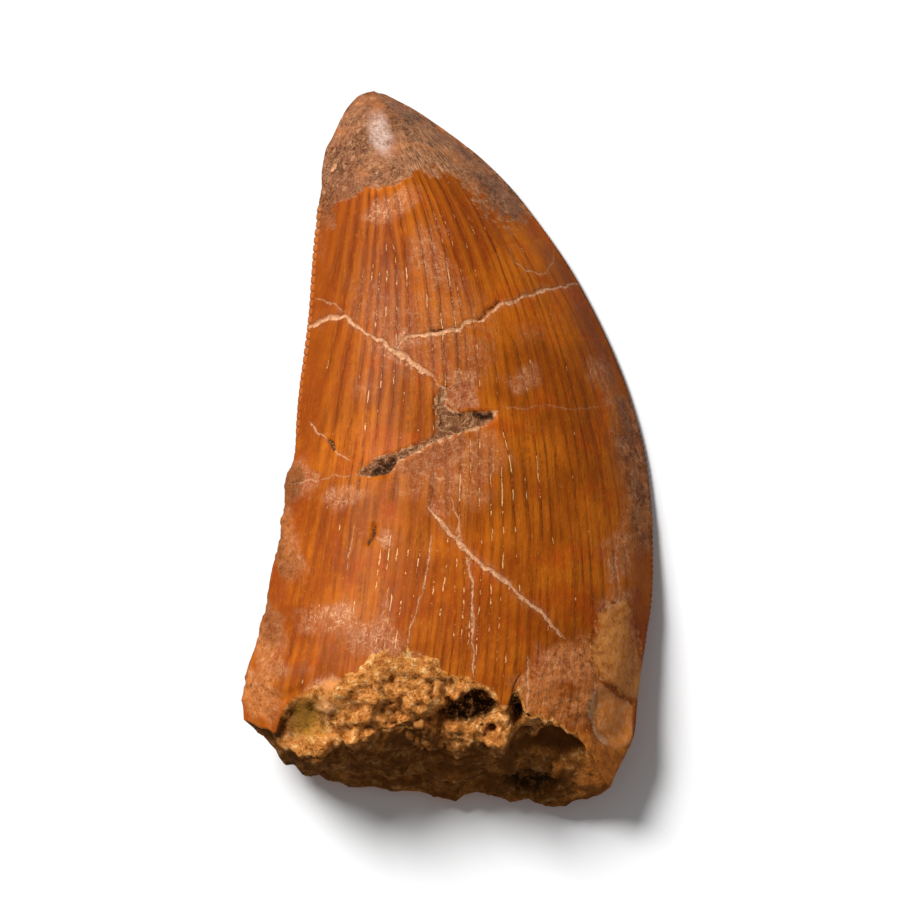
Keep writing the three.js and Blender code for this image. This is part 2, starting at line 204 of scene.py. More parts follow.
# Stretches where the wrinkles show as cream dashes.
DASHED = [
    [4.2, -3.4, 3.6, 5.5, 0.1, 1], [-2.6, -11.5, 5, 4.5, 0, 0.7], [-3.2, 4, 3.6, 5, 0, 0.7],
    [-1.6, 12.6, 5, 5, 0.2, 0.8], [2, 5.6, 2.4, 3, 0, 0.7], [1.5, -12, 5, 5, 0, 0.9],
]
# Stretches painted a deeper brown; over the left side, which faces the lamp, this is painted shade.
DEEP = [
    [-7.5, 13, 6, 9, 0, 1], [1, 14, 4, 5, 0, 0.6], [-10.5, 4, 2, 8, 0, 0.7], [-11, -10, 5, 10, 0.1, 0.7],
    [1, -13, 6, 6, 0, 0.8], [-8.5, 21, 2.4, 5, -0.2, 1], [-13, -10, 2.5, 12, 0.15, 1],
    [-6, 12, 7, 7, 0, 0.8], [-6.5, 14.5, 5.5, 6, 0, 2],
    [-11.8, -2.6, 1.6, 3.6, 0.15, 1.3], [1, 15, 4, 5.5, 0, 1.4],
]
# Stretches where the dark wrinkle lines are nearly lost.
FADED = [
    [-8, -11, 6.5, 8, 0, 0.85], [9.5, -14, 5, 5, 0, 0.85], [11, 3, 3, 9, 0, 0.5], [-10.5, 5, 2, 12, 0, 0.5],
    [8, 6, 7, 10, 0.3, 0.6], [1.5, -11, 7, 8, 0, 0.7], [7.5, -9.5, 4.5, 6, 0, 0.8],
    [10.5, -3, 4.5, 6, 0, 0.8],
]
# Scored stretch of the tip.
SCORED = (-1.2, 21.8, 4.2, 2.2, -0.85)
# Smooth skin on the corner between the front edge and the break.
CORNER = [
    [9.6, -21.1], [11.4, -21.8], [12.8, -22.5], [14, -22], [15, -23], [13, -27], [9, -27], [9, -23],
]

# Polished spot on the tip, glossier and with a pale crackled painted highlight: x, y on the plane, half
# width, half height, turn.
POLISH = (-5.1, 23.9, 1.05, 2.1, 0.3)

# Broad hollows and swellings of the skin: x, y on the plane, half width, half height, depth.
FORM_MARKS = [
    [12.4, -20.1, 1.9, 2.4, 0.35], [-12.4, -17, 2.2, 1.6, -0.25], [-9.6, 22, 0.9, 2, -0.15],
]

# Places on the break: x, y on the plane, half width, half height, depth, kind. A negative depth stands out.
BREAK_PLACES = [
    [1.5, -19.6, 2.2, 1.6, 1.9, "hole"], [8.3, -21.9, 2.6, 1.1, 1.3, "dentine"],
    [6.3, -25.2, 2.1, 0.8, 1.3, "hole"], [-10.6, -20.2, 1.5, 1.7, 0.4, "sand"],
    [-4.6, -19.8, 1.3, 0.8, 0.4, ""], [-9.1, -19.4, 0.75, 0.6, -0.8, "pebble"],
    [-6.2, -21.9, 1.8, 0.8, -0.5, ""], [-1.8, -21.4, 1.5, 0.9, -0.6, ""],
    [0.5, -26.4, 1.4, 0.7, -0.5, ""], [6, -26.8, 1.2, 0.5, -0.5, ""], [11.2, -24.3, 1.9, 1.9, -0.5, "wall"],
    [-2.6, -24.5, 1.7, 1, 0.5, ""], [3.6, -22.2, 0.9, 1.5, -0.5, ""], [5.3, -19.3, 0.6, 1.4, 1.1, "hole"],
    [-12.4, -22.4, 1, 0.9, -0.3, ""], [8.2, -24, 0.9, 0.5, -0.4, "wall"],
]
# Share of such a place that is level, more in a hole, and where it ends; how far its outline is torn;
# and how smooth the ground is in the smooth kinds.
FIRM, FIRM_HOLE, PLACE_END, TEARS, TEARS_HOLE = 0.55, 0.75, 1.15, 1, 1.6
SMOOTH_KINDS = {"dentine": 0.5, "pebble": 1, "wall": 0.5}

# Ground of the break. Waves: strength and rate of each, height, and what is left on smooth ground.
# Crumbs: size and layers, height, what is left on smooth ground and on the low face, and their middle.
BREAK_WAVES, BREAK_LUMPS, WAVES_LEFT = ((1, 0.75), (0.6, 1.7)), 0.42, 0.4
BREAK_CRUMBS, BREAK_GRAIN, CRUMBS_LEFT, CRUMBS_LOW, CRUMBS_MIDDLE = (0.75, 3), 0.5, 0.15, 0.65, 0.5
# Trench behind the upper rim: depth, middle and half width as shares of the way in, and where it is up
# the face and along x.
TRENCH, TRENCH_AT, TRENCH_HALF, TRENCH_UP, TRENCH_OVER = 0.45, 0.07, 0.04, (0.55, 0.85), (-9.5, -6)
# Painted shade under the torn rim: shares of the way in, and from where along x.
DARK_RIM, DARK_RIM_FROM = (0.02, 0.05), (6.5, 8)
# Slopes, in radians, at which the low face and the bevel are pressed in. They go over at the fold, as do
# the marks of the two.
PRESS_LOW, PRESS_LIT, PRESS_FOLD, MARK_FOLD = 0.35, 1.15, (-0.12, 0.04), (-0.1, 0.02)
# Shares of the length and of the way in between which the relief fades out at the rim.
RIM_CALM, FACE_CALM = 0.985, 0.05

# Noises of the surface: strength, size, layers. The wobble shifts the outlines, and its two directions,
# like the coarse and fine grain of rough skin, are taken from places so far apart along x.
NOISE_APART, GRAIN_APART = 40, 9
WOBBLE, SWELL, RIPPLE = (0.16, 0.9, 3), (0.05, 4.5, 2), (0.02, 1.1, 2)
TIP_GRAIN, CHIP_GRAIN, CHIP_FRAY = (0.04, 0.7, 2), (0.09, 0.35, 2), (0.1, 0.35, 2)
STAIN_FRAY, PATCH_FRAY, CRUMB_FRAY = (0.35, 1.7, 3), (0.45, 2.2, 4), (0.7, 1, 3)
ROUGH_COARSE, ROUGH_FINE = (0.6, 1.1, 4), (0.3, 0.45, 2)
BREAK_WOBBLE, LOW_FRAY = (0.45, 1.1, 3), (0.06, 1.2, 3)

# Marks of the skin: outline, how far outside it the mark starts (below 0) and how far inside it is full.
OUTLINED = (("yellow", YELLOW, -0.4, 0.7), ("wall", CORNER, -0.3, 0.3), ("shoulder", SHOULDER, -0.1, 0.25))
FACET_STEP, STAIN_STEP, CHIP_STEP = (-0.12, 0.18), (-0.7, 0.6), (-0.1, 0.24)
RED_STEP, LOW_STEP, LOW_REDNESS = (-0.08, 0.2), (-0.1, 0.35), 0.5
CHIP_DEPTH, RED_DEPTH, LOW_DEPTH = 0.22, 0.12, 0.08
# Marks made of ellipses: shares of the half width where they stop being full, and where they end.
ROUNDED, PATCH_END = (("scored", SCORED, 0.5, 1.1), ("polish_and_highlight", POLISH, 0.35, 1.15)), 1.2
PATCHES = (("haze", HAZE, 0.45), ("rough", ROUGH, 0.5), ("dashed", DASHED, 0.6), ("deep", DEEP, 0.2),
           ("faded", FADED, 0.3))
FORM_STEP = (0.55, 1.15)
# The height of a rough stretch, times this, is its share of the colour.
ROUGH_SHADE = 6
# The worn tip: how it starts and is full, how soft that is from left to right, and over which x; depth.
# Underneath it ends at a share of the length.
TIP_STEP, TIP_SOFT, TIP_SOFT_OVER, TIP_DEPTH = (-1, 1.1), (0.6, 2.0), (-4, 0.5), 0.05
UNDER_TIP, UNDER_TIP_SOFT = 0.24, 0.02

# Cracks: shares of the way along where they start and end, and how thin and how pale they are there;
# unevenness of the width and the length of its waves, half widths that the shade reaches and the most
# that are told apart; dust beside them, its strength and how many half widths it reaches.
CRACK_ENDS, CRACK_THIN, CRACK_FAINT = (-0.02, 0.08, 0.9, 1.02), 0.45, 0.35
CRACK_UNEVEN, CRACK_WAVE, CRACK_REACH, CRACK_MOST = 0.35, 0.8, 2.6, 6
CRACK_DUST, DUST_REACH = 0.35, 2.4
# Dark lines: least strength, what the half width adds to it, and depth in half widths.
DARK_LEAST, DARK_BY_HALF, DARK_DEPTH = 0.3, 5, 1.1
# A distance that no point on the tooth has, and the least gap and width that are divided by.
FAR, LEAST_GAP, LEAST_WIDTH = 1e3, 0.01, 3

# Crumbs on the rim of the enamel: their least reach, and the stretches of x where they reach further;
# how they thin out over that reach, the reach with all of them, and where they end in any case; size and
# layers, height, and the part of a lump that lies below the skin.
CRUMB_REACH = 0.12
CRUMB_STRETCHES = ((1.48, (-9, -7, -1.5, 0.3)), (0.25, (4.5, 5.5, 9.5, 10.5)))
CRUMB_STEP, CRUMB_MOST, CRUMB_END = (0.3, 1.1), 0.4, (2, 3.5)
CRUMB_SIZE, CRUMB_HEIGHT, CRUMB_FLOOR = (0.9, 3), 0.3, 0.3
# Height of the lumps at which the painted shade in a valley starts and ends.
VALLEY = (0.08, 0.36)

# Saw edges: number of denticles, way inwards along x, shares of the length where they start and wear
# down, what is left there, cut of a slot, stand of a cap, width of the band, dent behind it, shade.
SAWS = [
    {"teeth": 81, "inwards": 1, "starts": (0.16, 0.26), "wears": (0.5, 0.66), "least": 0.1,
     "cut": 0.07, "out": 0.03, "band": 0.25, "dent": 0.06, "shade": 1},
    {"teeth": 135, "inwards": -1, "starts": (0.4, 0.65), "wears": (0.74, 0.86), "least": 0.15,
     "cut": 0.06, "out": 0.02, "band": 0.2, "dent": 0.04, "shade": 0.35},
]

# Denticles: their strength, its unevenness and the rates of that along the teeth and the length; place
# and width of the dent, in bands; what a cap has of a slot's dent; how far the shade of the teeth
# reaches, in bands, and that of the strip behind them.
SAW_LEVEL, SAW_UNEVEN, SAW_RATES = 0.8, 0.5, (0.4, 11)
DENT_AT, DENT_WIDTH, CAP_SWELL = 0.5, 0.6, -0.5
TEETH_REACH, STRIP_REACH = (0.8, 1.5), (0.5, 4)

# Fine wrinkles of the enamel: how many reach the tip, and how many more start lower down. Their births:
# seed, spacing and first place across, ends of the stretch along, length and width of the cell round
# one, and how much of it is without a wrinkle.
WRINKLES_AT_TIP, WRINKLES_BORN = 14, 31
BIRTH_SEED, BIRTH_SPACING, BIRTH_FIRST, BIRTH_FROM, BIRTH_TO = 12, 0.618, 0.3, -12, 17
BIRTH_CELL, BIRTH_CLEAR = (2.5, 0.03), (0.15, 0.6)
# Waves in their spacing: height, rate, start.
WRINKLE_WAVES = ((0.008, 23, 1), (0.003, 61, 0))
# Depth, half width of a line, the cosines between which a groove deepens, the least and most turn of a
# line, the turns to a millimetre where wrinkles start to show, and shares of the way across for that.
WRINKLE_DEPTH, LINE_HALF, WRINKLE_STEP, LINE_TURN = 0.012, 0.068, (0.4, 1), (0.2, 1.2)
WRINKLE_RATE, WRINKLE_EDGE = (1.2, 2.4), (0.03, 0.09)
# What smooths the wrinkles away, and how much.
CALMED = {"tip": 1, "chip": 1, "spall": 0.7, "facet": 1, "yellow": 1, "dark_edge": 0.6, "shoulder": 1,
          "wall": 1, "rough": 0.8}
# Lines that the wrinkles follow: width the tooth counts as, place of the underside, and bends.
FLOW_WIDTH, UNDER_FLOW, FLOW_BENDS = 30.0, 90.0, (2, 4)

# What the surface carries besides its shape, as one number for each point.
MARKS = (
    "wrinkle", "wrinkle_cos", "wrinkle_sin", "dashed", "tip", "polish_and_highlight", "chip", "red", "spall", "dark_edge",
    "yellow", "facet", "shoulder", "haze", "rough", "crumbs", "crack_near", "crack_side", "crack_pale",
    "dark_line", "cap", "slot", "saw_band", "break_face", "low_face", "hole", "sand", "dentine", "pebble",
    "wall", "valley_shade", "scored", "deep", "faded", "line_edge",
)


def smoothstep(x, low, high):
    """0 below low, 1 above high, and 3t squared minus 2t cubed between them."""
    t = np.clip((x - low) / (high - low), 0, 1)
    return t * t * (3 - 2 * t)


def span(x, start, full, fade, end):
    """1 from full to fade, eased to nothing at start and end."""
    return smoothstep(x, start, full) * (1 - smoothstep(x, fade, end))


def bell(x, width):
    """1 at 0 and less to both sides: e to the power of minus (x / width) squared."""
    return np.exp(-(x / width) ** 2)


def blend(a, b, t):
    return a + (b - a) * t


def smooth_line(points, steps=60):
    """A curve through the points, as a function of the share of its length.

    Each span is a cubic blended from its two neighbours, with knots spaced by the square root of the
    distance between points, so it neither overshoots nor loops.
    """
    p = np.array(points, float)
    p = np.vstack([2 * p[0] - p[1], p, 2 * p[-1] - p[-2]])
    knot = np.r_[0, np.cumsum(np.sqrt(np.linalg.norm(np.diff(p, axis=0), axis=1)))]
    spans = []
    for i in range(len(p) - 3):
        k = knot[i:i + 4]
        t = np.linspace(k[1], k[2], steps, endpoint=False)[:, None]
        first = [blend(p[i + n], p[i + n + 1], (t - k[n]) / (k[n + 1] - k[n])) for n in range(3)]
        second = [blend(first[n], first[n + 1], (t - k[n]) / (k[n + 2] - k[n])) for n in range(2)]
        spans.append(blend(second[0], second[1], (t - k[1]) / (k[2] - k[1])))
    curve = np.vstack(spans + [p[-2:-1]])
    run = np.r_[0, np.cumsum(np.linalg.norm(np.diff(curve, axis=0), axis=1))]
    run /= run[-1]
    return lambda s: (np.interp(s, run, curve[:, 0]), np.interp(s, run, curve[:, 1]))


distal_at = smooth_line(DISTAL_LINE)
mesial_at = smooth_line(MESIAL_LINE)


def lattice(i, j, k):
    """A number from -1 to 1 for each lattice corner: the fraction of a large sine."""
    h = np.sin(i * 127.1 + j * 311.7 + k * 74.7) * 43758.5453
    return 2 * (h - np.floor(h)) - 1


def noise(x, y, z):
    """Smooth noise from -1 to 1: the eight corners of the lattice cell, eased between along each axis."""
    i, j, k = np.floor(x), np.floor(y), np.floor(z)
    u, v, w = (smoothstep(c, 0, 1) for c in (x - i, y - j, z - k))
    faces = [
        blend(blend(lattice(i, j, k + n), lattice(i + 1, j, k + n), u),
              blend(lattice(i, j + 1, k + n), lattice(i + 1, j + 1, k + n), u), v)
        for n in (0, 1)
    ]
    return blend(faces[0], faces[1], w)


def layered(x, y, z, strength, size, layers):
    """Noise of a strength and size, plus layers each half as large and 0.55 as strong."""
    total = 0
    for n in range(layers):
        total = total + 0.55 ** n * noise(x / size + 7 * n, y / size - 3 * n, z / size + 5 * n)
        size = size / 2
    return strength * total


def crumbly(x, y, z, size, layers):
    """Rounded lumps with sharp valleys between them.

    Layers of noise without its sign, each half as large and 0.6 as strong.
    """
    return sum(
        0.6 ** n * np.abs(noise(x * 2 ** n / size + 3 * n, y * 2 ** n / size, z * 2 ** n / size - 5 * n))
        for n in range(layers)
    )


def thickness(s):
    """Side to side, from nothing at the apex: THICK times (1 - (1 - s) squared) to a power."""
    return THICK * (1 - (1 - s) ** 2) ** THICK_POWER


def at_apex(s):
    """1 at the apex, falling to nothing with the square of what is left of its share."""
    return np.maximum(0, 1 - s / APEX_SHARE) ** 2


def under_line(s):
    """Height of the underside's middle: an arch, lowered to the flats and lifted at the apex."""
    return APEX_Z * at_apex(s) + ARCH * np.sin(math.pi * s) - WORN_FLAT


def edge_height(s, q):
    """Height of the dividing surface between the two saw edges.

    The distal edge lies half of the thickness over the underside. The mesial edge lies low along the
    upper half and rises to the base. Between them the height goes over with q squared.
    """
    distal = under_line(s) + (1 - UPPER) * thickness(s)
    mesial = blend(LOW_EDGE, APEX_Z - WORN_FLAT, at_apex(s))
    mesial = mesial + EDGE_RISE * smoothstep(s, RISE_FROM, RISE_TO)
    return blend(distal, mesial, q * q)


def skin(q, s, upper):
    """Points of the crown's skin: q runs from the distal to the mesial edge, s from apex to break.

    In plan a point is q of the way between the two edge lines, pulled towards the broad line of the rim
    in the lower third and to its nicks just before it. Its height is the edge height plus or minus half of a
    lens: (4q(1 - q)) to a power that makes it fuller towards the base, planed flat beside the edges
    and hollowed along the underside, whose last stretch is lifted. Nothing goes below the floor, which
    leaves the flats that the tooth rests on.
    """
    (dx, dy), (mx, my) = distal_at(s), mesial_at(s)
    width = np.hypot(mx - dx, my - dy)
    full = blend(FULL_TIP, np.where(upper, FULL_UPPER, FULL_UNDER), s)
    lens = np.maximum(4 * q * (1 - q), 0) ** full
    lens = lens * (1 - FLAT_EDGE * bell(np.minimum(q, 1 - q) * width, FLAT_WIDTH))
    to_base = smoothstep(s, GROOVE_FROM, 1)
    hollow = 1 - GROOVE_DEPTH * to_base * bell(q - 0.5, GROOVE_WIDTH)
    lens = np.where(upper, lens, lens * hollow / blend(1, LOBE, to_base))
    rims, broad_rims = [], []
    for line in (UPPER_RIM, UNDER_RIM):
        at, height = np.array(line).T
        rims.append(np.interp(q, at, height))
        broad_rims.append(np.interp(q, BROAD_RIM, np.interp(BROAD_RIM, at, height)))
    rim, broad = np.where(upper, *rims), np.where(upper, *broad_rims)
    fall = broad - blend(DISTAL_LINE[-1][1], MESIAL_LINE[-1][1], q)
    torn = blend(1, TORN, span(q, *TORN_SPAN))
    nicks = rim - broad + torn * layered(RIM_WAVES * q, 0 * q, 0 * q, *RIM_CHIPS)
    x = blend(dx, mx, q)
    y = blend(dy, my, q) + fall * smoothstep(s, RIM_FROM, 1) + nicks * smoothstep(s, NICKS_FROM, 1)
    edge = edge_height(s, q)
    under = under_line(s) + LIP_RISE * smoothstep(s, LIP_FROM, 1)
    z = np.where(upper, edge + UPPER * thickness(s) * lens, blend(edge, under, lens))
    return np.stack(np.broadcast_arrays(x, y, np.maximum(z, 0)), axis=-1)


def break_face(x, z):
    """Points of the break over x and z, and how far up its face they are, from 0 to 1.

    A straight run goes from the lower rim to the fold line and another from there to the upper rim.
    """
    left, right = DISTAL_LINE[-1][0], MESIAL_LINE[-1][0]
    q = np.clip((x - left) / (right - left), 0, 1)
    above, below = skin(q, 1.0, True), skin(q, 1.0, False)
    up = np.clip((z - below[..., 2]) / np.maximum(above[..., 2] - below[..., 2], LEAST_GAP), 0, 1)
    fold = np.interp(x, *np.array(FOLD_LINE).T) - FOLD_UP * above[..., 2] * math.sin(LEAN)
    fold = np.clip(fold / math.cos(LEAN), below[..., 1], above[..., 1])
    face = blend(below[..., 1], fold, np.minimum(up / FOLD_UP, 1))
    bevel = blend(0, above[..., 1] - fold, np.maximum((up - FOLD_UP) / (1 - FOLD_UP), 0))
    return np.stack([x, face + bevel, z], axis=-1), up


def plane_y(p):
    """Height of a point on the drawing plane."""
    return p[..., 1] * math.cos(LEAN) + p[..., 2] * math.sin(LEAN)


def shares(columns):
    """Column places between the edges, crowded a little towards them."""
    even = np.arange(1, columns) / columns
    return blend(even, 0.5 - 0.5 * np.cos(math.pi * even), CROWDED)


def base_grid():
    """The smooth form as a grid: rows from apex to break to hub, columns once round the tooth.

    Columns go over the top from the distal to the mesial edge and back underneath. The crown's rows
    are evenly spaced along both edges. The break's rows are the rim drawn in towards its hub.
    """
    top, under = np.r_[0, shares(TOP_COLUMNS), 1], shares(UNDER_COLUMNS)[::-1]
    q = np.r_[top, under]
    upper = np.r_[np.ones(len(top), bool), np.zeros(len(under), bool)]
    s = (np.arange(1, ROWS + 1) / ROWS)[:, None]
    crown = skin(q[None, :], s, upper[None, :])
    rim = crown[-1]
    inward = (np.arange(1, BREAK_RINGS) / BREAK_RINGS)[:, None]
    hub_x = blend(DISTAL_LINE[-1][0], MESIAL_LINE[-1][0], HUB_ACROSS)
    face, up = break_face(blend(rim[:, 0], hub_x, inward), blend(rim[:, 2], THICK * HUB_UP, inward))
    return {"crown": crown, "face": face, "q": q, "upper": upper, "s": s, "inward": inward, "up": up}


def stroke(x, y, route):
    """Distance from each point to a broken line, the side it lies on, and the share of the way along."""
    route = np.array(route, float)
    lengths = np.linalg.norm(np.diff(route, axis=0), axis=1)
    before = np.r_[0, np.cumsum(lengths)]
    gap, side, share = np.full(x.shape, FAR), np.ones(x.shape), np.zeros(x.shape)
    for (ax, ay), (bx, by), run, length in zip(route, route[1:], before, lengths):
        dx, dy = bx - ax, by - ay
        t = np.clip(((x - ax) * dx + (y - ay) * dy) / length ** 2, 0, 1)
        here = np.hypot(x - ax - t * dx, y - ay - t * dy)
        closer = here < gap
        gap = np.where(closer, here, gap)
        side = np.where(closer, np.sign(dx * (y - ay) - dy * (x - ax)), side)
        share = np.where(closer, (run + t * length) / before[-1], share)
    return gap, side, share


def inside(x, y, outline):
    """Depth inside a closed outline, negative outside it: the distance to it, signed by crossings."""
    closed = np.array(outline + outline[:1], float)
    crossings = np.zeros(x.shape, int)
    for (ax, ay), (bx, by) in zip(closed, closed[1:]):
        spans = (ay > y) != (by > y)
        crossings += spans & (x < ax + (y - ay) * (bx - ax) / (by - ay if by != ay else 1))
    gap = stroke(x, y, closed)[0]
    return np.where(crossings % 2 == 1, gap, -gap)


def patch(x, y, cx, cy, rx, ry, turn=0.0):
    """Distance from the middle of an ellipse in half widths: 1 on its outline."""
    c, n = math.cos(turn), math.sin(turn)
    u, v = (x - cx) * c + (y - cy) * n, -(x - cx) * n + (y - cy) * c
    return np.hypot(u / rx, v / ry)


def flow_share(x, y):
    """Share of the way across, along lines that follow both saw edges without their small bends.

    Each edge is evened out to a polynomial of y: a parabola at the rear, fourth power at the front.
    """
    lines = []
    for points, bends in zip((DISTAL_LINE, MESIAL_LINE), FLOW_BENDS):
        edge_x, edge_y = np.array(points).T
        middle, half = edge_y.mean(), np.ptp(edge_y) / 2
        lines.append(np.polyval(np.polyfit((edge_y - middle) / half, edge_x, bends), (y - middle) / half))
    return (x - lines[0]) / np.maximum(lines[1] - lines[0], LEAST_WIDTH)


def wrinkle_phase(q, y):
    """Angle whose full turns are the fine enamel wrinkles, which run from base to tip.

    It grows across the tooth, at an uneven rate. At each birth place one more wrinkle starts towards
    the base: an angle round that place, in cells as wide as a wrinkle and longer along it, is added.
    The second result is 1 away from the birth places and fades to nothing on them.
    """
    rng = np.random.default_rng(BIRTH_SEED)
    across = (np.arange(WRINKLES_BORN) * BIRTH_SPACING + BIRTH_FIRST) % 1
    along = rng.uniform(BIRTH_FROM, BIRTH_TO, WRINKLES_BORN)
    uneven = q + sum(height * np.sin(rate * q + start) for height, rate, start in WRINKLE_WAVES)
    turn = 2 * math.pi * (WRINKLES_AT_TIP + WRINKLES_BORN / 2) * uneven
    clear = np.ones(q.shape)
    for place, start in zip(across, along):
        ahead, beside = (start - y) / BIRTH_CELL[0], (q - place) / BIRTH_CELL[1]
        turn = turn - np.arctan2(ahead, beside)
        clear = clear * smoothstep(np.hypot(ahead, beside), *BIRTH_CLEAR)
    return turn, clear


def saw_teeth(grid, marks):
    """Cuts the denticles: slots drawn in across both edges, caps standing out between them.

    Returns the move of each point in plan and in height. A slot pulls the edge inwards by a bell curve
    of the distance from the edge and dents both faces just behind it, and a cap does the reverse.
    """
    q, s, rows = grid["q"], grid["s"][:, 0], np.arange(1, ROWS + 1)
    (dx, dy), (mx, my) = distal_at(s), mesial_at(s)
    width = np.hypot(mx - dx, my - dy)
    ahead = np.stack([(mx - dx) / width, (my - dy) / width], axis=-1)
    move, lift = np.zeros((ROWS, len(q), 2)), np.zeros((ROWS, len(q)))
    for saw in SAWS:
        slot = (rows % (ROWS // saw["teeth"]) == 0).astype(float)
        wear = blend(1, saw["least"], smoothstep(s, *saw["wears"]))
        teeth_rate, length_rate = SAW_RATES
        bumps = noise(s * saw["teeth"] * teeth_rate, s * length_rate, s * 0 + saw["inwards"])
        strength = smoothstep(s, *saw["starts"]) * wear * (SAW_LEVEL + SAW_UNEVEN * bumps)
        gap = (q if saw["inwards"] > 0 else 1 - q)[None, :] * width[:, None]
        pull = blend(-saw["out"], saw["cut"], slot) * strength
        move += saw["inwards"] * (pull[:, None] * bell(gap, saw["band"]))[..., None] * ahead[:, None, :]
        behind = bell(gap - DENT_AT * saw["band"], DENT_WIDTH * saw["band"])
        dent = blend(CAP_SWELL, 1, slot) * strength * saw["dent"]
        lift -= np.where(grid["upper"], 1, -1) * behind * dent[:, None]
        near = strength[:, None] * (1 - smoothstep(gap / saw["band"], *TEETH_REACH))
        marks["cap"] += near * (1 - slot)[:, None] * saw["shade"]
        marks["slot"] += near * slot[:, None] * saw["shade"]
        marks["saw_band"] += strength[:, None] * (1 - smoothstep(gap, *STRIP_REACH)) * saw["shade"]
    return move, lift


def surface_normals(points):
    """Outward normals of the grid: the cross product of the steps along rows and round columns."""
    down = np.gradient(points, axis=0)
    ring = np.concatenate([points[:, -1:], points, points[:, :1]], axis=1)
    across = np.gradient(ring, axis=1)[:, 1:-1]
    normal = np.cross(down, across)
    return normal / np.maximum(np.linalg.norm(normal, axis=-1, keepdims=True), 1e-9)


def place_marks(x, y, z, wobbly, on_top, s, marks):
    """Marks the worn tip, the chips and the patches, and returns how deep they lie.

    Each is a smooth step across its outline. The chip has a grainy floor, and rough stretches stand
    out in grains.
    """
    soft = blend(*TIP_SOFT, smoothstep(x, *TIP_SOFT_OVER))
    tip = smoothstep(inside(*wobbly, TIP_EDGE) / soft, *TIP_STEP)
    under_tip = UNDER_TIP - s + UNDER_TIP_SOFT * noise(x, y, z)
    marks["tip"] += np.where(on_top, tip, smoothstep(under_tip, -UNDER_TIP_SOFT, UNDER_TIP_SOFT))
    depth = marks["tip"] * (TIP_DEPTH + layered(x, y, z, *TIP_GRAIN))

    frayed = wobbly[0] + layered(x, y, z, *CHIP_FRAY), wobbly[1]
    chip = smoothstep(inside(*frayed, CHIP), *CHIP_STEP) * on_top
    red = smoothstep(inside(*wobbly, RED_SPALL), *RED_STEP) * on_top
    low = smoothstep(inside(*wobbly, LOW_SPALL), *LOW_STEP) * on_top
    marks["chip"] += chip
    marks["red"] += np.maximum(red, LOW_REDNESS * low) * (1 - chip)
    marks["spall"] += np.maximum(red, low)
    depth += chip * (CHIP_DEPTH + layered(x, y, z, *CHIP_GRAIN))
    depth += (1 - chip) * (RED_DEPTH * red + LOW_DEPTH * low)

    stain = inside(*wobbly, DARK_EDGE) + layered(x, y, z, *STAIN_FRAY)
    marks["dark_edge"] += smoothstep(stain, *STAIN_STEP) * on_top
    marks["facet"] += smoothstep(inside(x, y, FACET), *FACET_STEP) * on_top
    for name, outline, *step in OUTLINED:
        marks[name] += smoothstep(inside(*wobbly, outline), *step) * on_top
    for name, ellipse, *step in ROUNDED:
        marks[name] += (1 - smoothstep(patch(*wobbly, *ellipse), *step)) * on_top
    ragged = layered(x, y, z, *PATCH_FRAY)
    for name, patches, full in PATCHES:
        for *ellipse, strength in patches:
            away = patch(*wobbly, *ellipse) + ragged
            here = (1 - smoothstep(away, full, PATCH_END)) * strength * on_top
            marks[name] = np.maximum(marks[name], here)
    grain = layered(x, y, z, *ROUGH_COARSE) + layered(x + GRAIN_APART, y, z, *ROUGH_FINE)
    depth -= marks["rough"] * grain
    marks["rough"] = np.minimum(marks["rough"] * ROUGH_SHADE, 1)
    for cx, cy, rx, ry, deep in FORM_MARKS:
        depth += deep * (1 - smoothstep(patch(x, y, cx, cy, rx, ry), *FORM_STEP)) * on_top
    return depth


def crack_marks(x, y, z, wobbly, on_top, marks):
    """Marks the cracks and the dark lines, and returns the bell-shaped grooves along their routes.

    The shade round a crack is e to the power of minus the fourth power of the distance.
    """
    depth, nearest = np.zeros(x.shape), np.full(x.shape, FAR)
    for cracks, here in ((CRACKS, on_top), (UNDER_CRACKS, ~on_top)):
        for route, half, pale, groove in cracks:
            gap, side, share = stroke(*wobbly, route)
            gap = np.where(here, gap, FAR)
            ends = span(share, *CRACK_ENDS)
            uneven = 1 + CRACK_UNEVEN * noise(x / CRACK_WAVE, y / CRACK_WAVE, z * 0 + 3)
            wide = half * blend(CRACK_THIN, 1, ends) * uneven
            closer = gap / wide < nearest
            nearest = np.where(closer, gap / wide, nearest)
            marks["crack_side"] = np.where(closer, side * gap / wide, marks["crack_side"])
            marks["crack_pale"] = np.where(closer, pale * blend(CRACK_FAINT, 1, ends), marks["crack_pale"])
            depth += groove * ends * bell(gap, wide)
            dust = CRACK_DUST * pale * ends * bell(gap, DUST_REACH * wide)
            marks["haze"] = np.maximum(marks["haze"], dust)
    marks["crack_near"] += np.exp(-(nearest / CRACK_REACH) ** 4)
    marks["crack_side"] = np.clip(marks["crack_side"], -CRACK_MOST, CRACK_MOST)

    for route, half in DARK_LINES:
        line = bell(np.where(on_top, stroke(*wobbly, route)[0], FAR), half)
        strength = min(1, DARK_LEAST + DARK_BY_HALF * half)
        marks["dark_line"] = np.maximum(marks["dark_line"], line * strength)
        depth += DARK_DEPTH * half * line
    return depth


def crumb_marks(x, y, z, on_top, s, marks):
    """Marks the crumbs that cling to the rim of the enamel, and returns how far they stand out."""
    reach = CRUMB_REACH + sum(more * span(x, *stretch) for more, stretch in CRUMB_STRETCHES)
    from_rim = (1 - s) * LENGTH
    crumbs = 1 - smoothstep(from_rim / reach + layered(x, y, z, *CRUMB_FRAY), *CRUMB_STEP)
    crumbs = crumbs * smoothstep(reach, CRUMB_REACH, CRUMB_MOST)
    marks["crumbs"] += crumbs * on_top * (1 - smoothstep(from_rim, *CRUMB_END))
    lumps = crumbly(x, y, z, *CRUMB_SIZE)
    # Painted shade in the valleys between the crumbs' lumps.
    marks["valley_shade"] += (1 - smoothstep(lumps, *VALLEY)) * marks["crumbs"]
    return -CRUMB_HEIGHT * marks["crumbs"] * (lumps - CRUMB_FLOOR)


